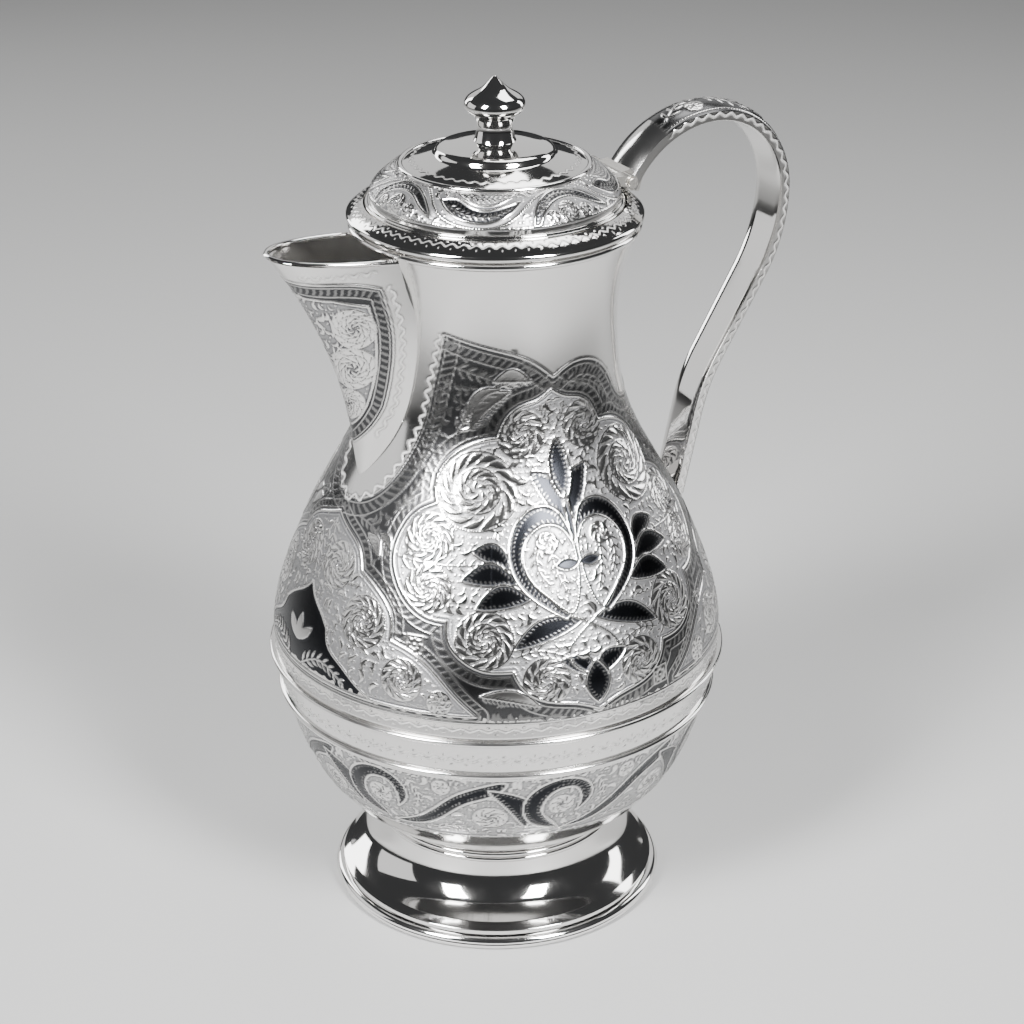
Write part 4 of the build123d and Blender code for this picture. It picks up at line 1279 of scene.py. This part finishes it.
# %% Handle ornament
shell_height, shell_crown, strap_height = 3.4, 5.6, 1.2
back_t = np.linspace(-1, 1, 60)
back_bow = (shell_crown - shell_height) * (1 - back_t ** 2)
shell_back = np.stack([back_t, shell_height + back_bow], axis=1)
side_z = np.linspace(strap_height, shell_height, 8)[:-1]
shell_section = np.vstack([np.stack([-np.ones(7), side_z], axis=1), shell_back,
                           np.stack([np.ones(7), side_z[::-1]], axis=1)])
handle_plate = Plate((0.0, handle_run[-1]), (-8.0, 8.0), 0.25, 0.2)
handle_plate.niello[:] = 0.9
for n, s in enumerate(np.arange(14.0, handle_run[-1] - 6, 15.0)):
    hand = 1 if n % 2 else -1
    stem = smooth_line([(s - 7, -3.6 * hand), (s - 2, 0.4 * hand), (s + 3, 3.2 * hand),
                        (s + 7, 3.6 * hand)], 20)
    spray(handle_plate, stem, 4.0, 3.6, 0.3, 0.0, 0.42)
    rosette(handle_plate, (s + 3.5, -2.6 * hand), 2.6, hand, 7)
for edge in (-6.4, 6.4):
    handle_plate.stroke([(0, edge), (handle_run[-1], edge)], 0.4, 0.28, bead=1.0)
handle_plate.paint_hollow_shade()
mean_half_width, side_wave_height = 7.6, 0.16
plain_rise = 19.0            # the handle is polished up to here, along its line
back_rows = (np.arange(len(shell_section)) >= 7) & (np.arange(len(shell_section)) < 67)


def shell_relief(s, section):
    """Leaves on the back of the shell and a wriggled line along each side of it."""
    height = handle_plate.sample(s[:, None], section[None, :, 0] * mean_half_width)[0]
    side = ~back_rows & (np.abs(section[:, 0]) > 0.99)
    wave = 2.3 + 0.5 * np.sin(2 * np.pi * s / 4.2)
    ridge = side_wave_height * np.exp(-((section[None, :, 1] - wave[:, None]) / 0.34) ** 2)
    begin = np.clip((s - plain_rise) / 3.0, 0, 1)[:, None]
    return np.where(back_rows[None, :], height * begin, ridge * side[None, :] * begin)


def shell_marks(s, section):
    """Niello and painted shade in the hollows on the back of the shell."""
    begin = np.clip((s - plain_rise) / 1.5, 0, 1)[:, None] * back_rows[None, :]
    masks = handle_plate.masks(s[:, None], section[None, :, 0] * mean_half_width, begin)
    side_cut = np.where(back_rows[None, :], 0.0, shell_relief(s, section) / side_wave_height)
    masks["cut"] = np.clip(1.6 * side_cut - 0.2, 0, 1)
    return masks


shell = handle_bar("handle_back", shell_section, 680, shell_relief, shell_marks,
                   slot="engraved_silver")
strap_edge = 0.35
strap_section = [(-1.0, strap_edge), (-1.0, strap_height), (1.0, strap_height), (1.0, strap_edge),
                 (0.94, 0.06), (0.6, 0.0), (0.0, 0.0), (-0.6, 0.0), (-0.94, 0.06)]
strap = handle_bar("handle_inner_strap", strap_section, 420, slot="polished_silver")
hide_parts("handle_shell")
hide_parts("handle_strap")

# %% Pad under the handle's foot
pad_rows, pad_columns = 40, 48
round_pad = np.radians(np.arange(pad_columns) * 360.0 / pad_columns)
u, v = np.meshgrid(np.linspace(0, 1, pad_rows), round_pad, indexing="ij")


def pad_face(proud):
    """An ellipse laid on the shoulder: z and y by polar steps, x from the body's radius."""
    z = 127.0 + 15.0 * u * np.sin(v) + 2.0 * u * (np.sin(v) > 0.85)
    y = 9.5 * u * np.cos(v)
    thick = proud * np.sqrt(1 - 0.75 * u ** 4)
    return np.stack([np.sqrt((body_radius(z) + thick) ** 2 - y ** 2), y, z], axis=-1)


pad_points = np.vstack([pad_face(1.5).reshape(-1, 3), pad_face(-0.2)[::-1].reshape(-1, 3)])
pad = make_mesh("handle_foot_leaf", pad_points, grid_faces(2 * pad_rows, pad_columns, False, True),
                slot="polished_silver", weld=True)
face_outwards(pad)
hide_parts("handle_pad")

# %% [markdown]
# ## Finishes
# Every finish is silver.  What differs is the surface: mirror polish, bright cuts, a frosted
# ground, black niello and painted shade in the hollows.  Two node groups do the work.  The first
# gives tarnish and fine scratches, and the second mixes the colours of the chased surface
# by its masks, and paints shade into the hollows.

# %% Node groups
def new_group(name, inputs, outputs):
    """An empty shader group with named sockets of (name, kind, default)."""
    group = bpy.data.node_groups.new(name, "ShaderNodeTree")
    for label, kind, value in inputs:
        socket = group.interface.new_socket(label, in_out="INPUT", socket_type=kind)
        socket.default_value = value
    for label, kind in outputs:
        group.interface.new_socket(label, in_out="OUTPUT", socket_type=kind)
    return group, group.nodes.new("NodeGroupInput"), group.nodes.new("NodeGroupOutput")


def node(tree, kind, **settings):
    """A node with its settings and its inputs: a value, or a socket to link from."""
    made = tree.nodes.new(kind)
    inputs = settings.pop("inputs", {})
    for key, value in settings.items():
        setattr(made, key, value)
    for key, value in inputs.items():
        if isinstance(value, bpy.types.NodeSocket):
            tree.links.new(value, made.inputs[key])
        else:
            made.inputs[key].default_value = value
    return made


COLOUR, FLOAT = "NodeSocketColor", "NodeSocketFloat"
wear, into, out = new_group("silver_wear", [("Colour", COLOUR, (0.9, 0.89, 0.87, 1)),
                                            ("Tarnish", COLOUR, (0.5, 0.46, 0.4, 1)),
                                            ("Amount", FLOAT, 0.2), ("Polish", FLOAT, 0.08)],
                            [("Colour", COLOUR), ("Roughness", FLOAT), ("Scratches", FLOAT)])
where = node(wear, "ShaderNodeTexCoord")
cloud = node(wear, "ShaderNodeTexNoise", inputs={"Vector": where.outputs["Object"], "Scale": 26.0,
                                                 "Detail": 5.0, "Roughness": 0.6})
film = node(wear, "ShaderNodeMapRange", inputs={0: cloud.outputs["Fac"], 1: 0.42, 2: 0.75})
share = node(wear, "ShaderNodeMath", operation="MULTIPLY",
             inputs={0: film.outputs[0], 1: into.outputs["Amount"]})
tint = node(wear, "ShaderNodeMix", data_type="RGBA",
            inputs={0: share.outputs[0], 6: into.outputs["Colour"], 7: into.outputs["Tarnish"]})
fine = node(wear, "ShaderNodeTexNoise", inputs={"Vector": where.outputs["Object"], "Scale": 210.0,
                                                "Detail": 3.0})
haze = node(wear, "ShaderNodeMath", operation="MULTIPLY_ADD",
            inputs={0: fine.outputs["Fac"], 1: 0.05, 2: into.outputs["Polish"]})
dull = node(wear, "ShaderNodeMath", operation="MULTIPLY_ADD",
            inputs={0: share.outputs[0], 1: 0.35, 2: haze.outputs[0]})
turned_grain = node(wear, "ShaderNodeMapping", inputs={"Vector": where.outputs["Object"],
                                                       "Scale": (1.0, 1.0, 9.0)})
grain = node(wear, "ShaderNodeTexNoise", inputs={"Vector": turned_grain.outputs[0],
                                                 "Scale": 160.0, "Detail": 4.0})
wear.links.new(tint.outputs[2], out.inputs["Colour"])
wear.links.new(dull.outputs[0], out.inputs["Roughness"])
wear.links.new(grain.outputs["Fac"], out.inputs["Scratches"])

chased, into, out = new_group("chased_colour", [("Silver", COLOUR, (0.9, 0.89, 0.87, 1)),
                                                ("Niello", COLOUR, (0.016, 0.017, 0.02, 1)),
                                                ("Shade", COLOUR, (0.05, 0.05, 0.055, 1)),
                                                ("Polish", FLOAT, 0.15)],
                              [("Colour", COLOUR), ("Roughness", FLOAT), ("Grain", FLOAT)])
masks = {name: node(chased, "ShaderNodeAttribute", attribute_name=name).outputs["Fac"]
         for name in ("niello", "frost", "hollow", "cut")}
where = node(chased, "ShaderNodeTexCoord")
stipple = node(chased, "ShaderNodeTexVoronoi", inputs={"Vector": where.outputs["Object"],
                                                       "Scale": 1900.0})
frosted = node(chased, "ShaderNodeMix", data_type="RGBA",
               inputs={0: masks["frost"], 6: into.outputs["Silver"], 7: (0.3, 0.3, 0.305, 1)})
# Painted shade: the Shade colour is mixed in by the hollow mask, in hollows and beside raised lines.
shaded = node(chased, "ShaderNodeMix", data_type="RGBA",
              inputs={0: masks["hollow"], 6: frosted.outputs[2], 7: into.outputs["Shade"]})
inlaid = node(chased, "ShaderNodeMix", data_type="RGBA",
              inputs={0: masks["niello"], 6: shaded.outputs[2], 7: into.outputs["Niello"]})
rough_frost = node(chased, "ShaderNodeMath", operation="MULTIPLY_ADD",
                   inputs={0: masks["frost"], 1: 0.24, 2: into.outputs["Polish"]})
rough = node(chased, "ShaderNodeMath", operation="MULTIPLY_ADD",
             inputs={0: masks["hollow"], 1: 0.25, 2: rough_frost.outputs[0]})
rough_cut = node(chased, "ShaderNodeMath", operation="MULTIPLY_ADD",
                 inputs={0: masks["cut"], 1: 0.34, 2: rough.outputs[0]})
rough_black = node(chased, "ShaderNodeMath", operation="MULTIPLY_ADD",
                   inputs={0: masks["niello"], 1: 0.1, 2: rough_cut.outputs[0]})
punched = node(chased, "ShaderNodeMath", operation="MULTIPLY",
               inputs={0: stipple.outputs["Distance"], 1: masks["frost"]})
chased.links.new(inlaid.outputs[2], out.inputs["Colour"])
chased.links.new(rough_black.outputs[0], out.inputs["Roughness"])
chased.links.new(punched.outputs[0], out.inputs["Grain"])

# %% Materials
def silver(name, colour, tarnish, amount, polish, scratch, ornament=False):
    """Silver: a metallic surface with wear, and the chased masks where there is ornament."""
    material = bpy.data.materials.new(name)
    material.use_nodes = True
    tree = material.node_tree
    shader = tree.nodes["Principled BSDF"]
    shader.inputs["Metallic"].default_value = 1.0
    worn = node(tree, "ShaderNodeGroup", node_tree=wear,
                inputs={"Colour": colour, "Tarnish": tarnish, "Amount": amount, "Polish": polish})
    tint, shine = worn.outputs["Colour"], worn.outputs["Roughness"]
    normal = node(tree, "ShaderNodeBump", inputs={"Height": worn.outputs["Scratches"],
                                                  "Strength": scratch, "Distance": 0.00002})
    if ornament:
        inlay = node(tree, "ShaderNodeGroup", node_tree=chased,
                     inputs={"Silver": tint, "Polish": shine})
        tint, shine = inlay.outputs["Colour"], inlay.outputs["Roughness"]
        normal = node(tree, "ShaderNodeBump", inputs={"Height": inlay.outputs["Grain"],
                                                      "Strength": 0.5, "Distance": 0.00008,
                                                      "Normal": normal.outputs[0]})
    tree.links.new(tint, shader.inputs["Base Color"])
    tree.links.new(shine, shader.inputs["Roughness"])
    tree.links.new(normal.outputs[0], shader.inputs["Normal"])
    return material


warm_film, grey_film = (0.52, 0.47, 0.4, 1), (0.4, 0.4, 0.4, 1)
bright_silver = (0.76, 0.75, 0.735, 1)
finishes = {
    "engraved_silver": silver("engraved_silver", bright_silver, grey_film, 0.15, 0.1, 0.25, True),
    "polished_silver": silver("polished_silver", bright_silver, warm_film, 0.1, 0.03, 0.15, True),
    "silver_wire": silver("silver_wire", (0.82, 0.81, 0.8, 1), warm_film, 0.12, 0.05, 0.2),
    "inner_silver": silver("inner_silver", (0.8, 0.78, 0.74, 1), warm_film, 0.5, 0.2, 0.5),
}
plain_body = silver("planished_silver", bright_silver, warm_film, 0.3, 0.14, 0.4)

for name, part in frame["nodes"].items():
    finish = plain_body if name in ("upper_body", "lower_bowl") else finishes["inner_silver"]
    part.data.materials.clear()
    part.data.materials.append(finish)
for piece in list(bpy.data.objects):
    if piece.type == "MESH" and not piece.data.materials:
        piece.data.materials.append(finishes[piece.get("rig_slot", "polished_silver")])

# %% [markdown]
# ## Floor and light
# Polished metal shows the room more than itself.  Two tall soft boxes in front give the long
# bright stripes, a bank overhead lights the lid and the shoulder, and a dim grey room
# between them keeps the dark reflections that make silver look like silver.

# %% Floor
floor_mesh = bpy.data.meshes.new("floor")
floor_mesh.from_pydata([(-6, -6, 0), (6, -6, 0), (6, 6, 0), (-6, 6, 0)], [], [(0, 1, 2, 3)])
floor = bpy.data.objects.new("floor", floor_mesh)
bpy.context.scene.collection.objects.link(floor)
paint = bpy.data.materials.new("pale_floor")
paint.use_nodes = True
paint_shader = paint.node_tree.nodes["Principled BSDF"]
paint_shader.inputs["Base Color"].default_value = (0.25, 0.25, 0.248, 1)
paint_shader.inputs["Roughness"].default_value = 0.7
floor_mesh.materials.append(paint)

# %% Lights
def soft_box(name, side, distance, height, size, power, aim=0.15, spread=180.0):
    """An area light turned to the pitcher.  side is its angle from the camera, in degrees."""
    lamp = bpy.data.lights.new(name, "AREA")
    lamp.shape, lamp.size, lamp.size_y, lamp.energy = "RECTANGLE", size[0], size[1], power
    lamp.spread = np.radians(spread)
    holder = bpy.data.objects.new(name, lamp)
    bpy.context.scene.collection.objects.link(holder)
    angle = camera_angle + np.radians(side)
    holder.location = (distance * np.cos(angle), distance * np.sin(angle), height)
    way = Vector((0, 0, aim)) - holder.location
    holder.rotation_euler = way.to_track_quat("-Z", "Y").to_euler()
    holder.visible_camera = False


soft_box("left_box", -42.0, 1.1, 0.95, (0.35, 0.7), 15.0, 0.2, 70.0)
soft_box("right_box", 38.0, 1.1, 0.95, (0.35, 0.7), 14.0, 0.2, 70.0)
soft_box("top_bank", 150.0, 0.7, 1.5, (0.9, 0.6), 11.0)
soft_box("left_card", -100.0, 1.2, 0.45, (0.9, 0.7), 2.2)
soft_box("back_card", 180.0, 1.9, 1.1, (2.6, 1.0), 7.0)
soft_box("rear_left", -140.0, 1.3, 0.6, (0.3, 0.9), 6.0)
soft_box("rear_right", 120.0, 1.3, 0.6, (0.3, 0.9), 6.0)
room = bpy.data.worlds.new("room")
bpy.context.scene.world = room
room.use_nodes = True
backdrop = room.node_tree.nodes["Background"]
backdrop.inputs["Color"].default_value = (0.5, 0.51, 0.53, 1)
backdrop.inputs["Strength"].default_value = 0.1
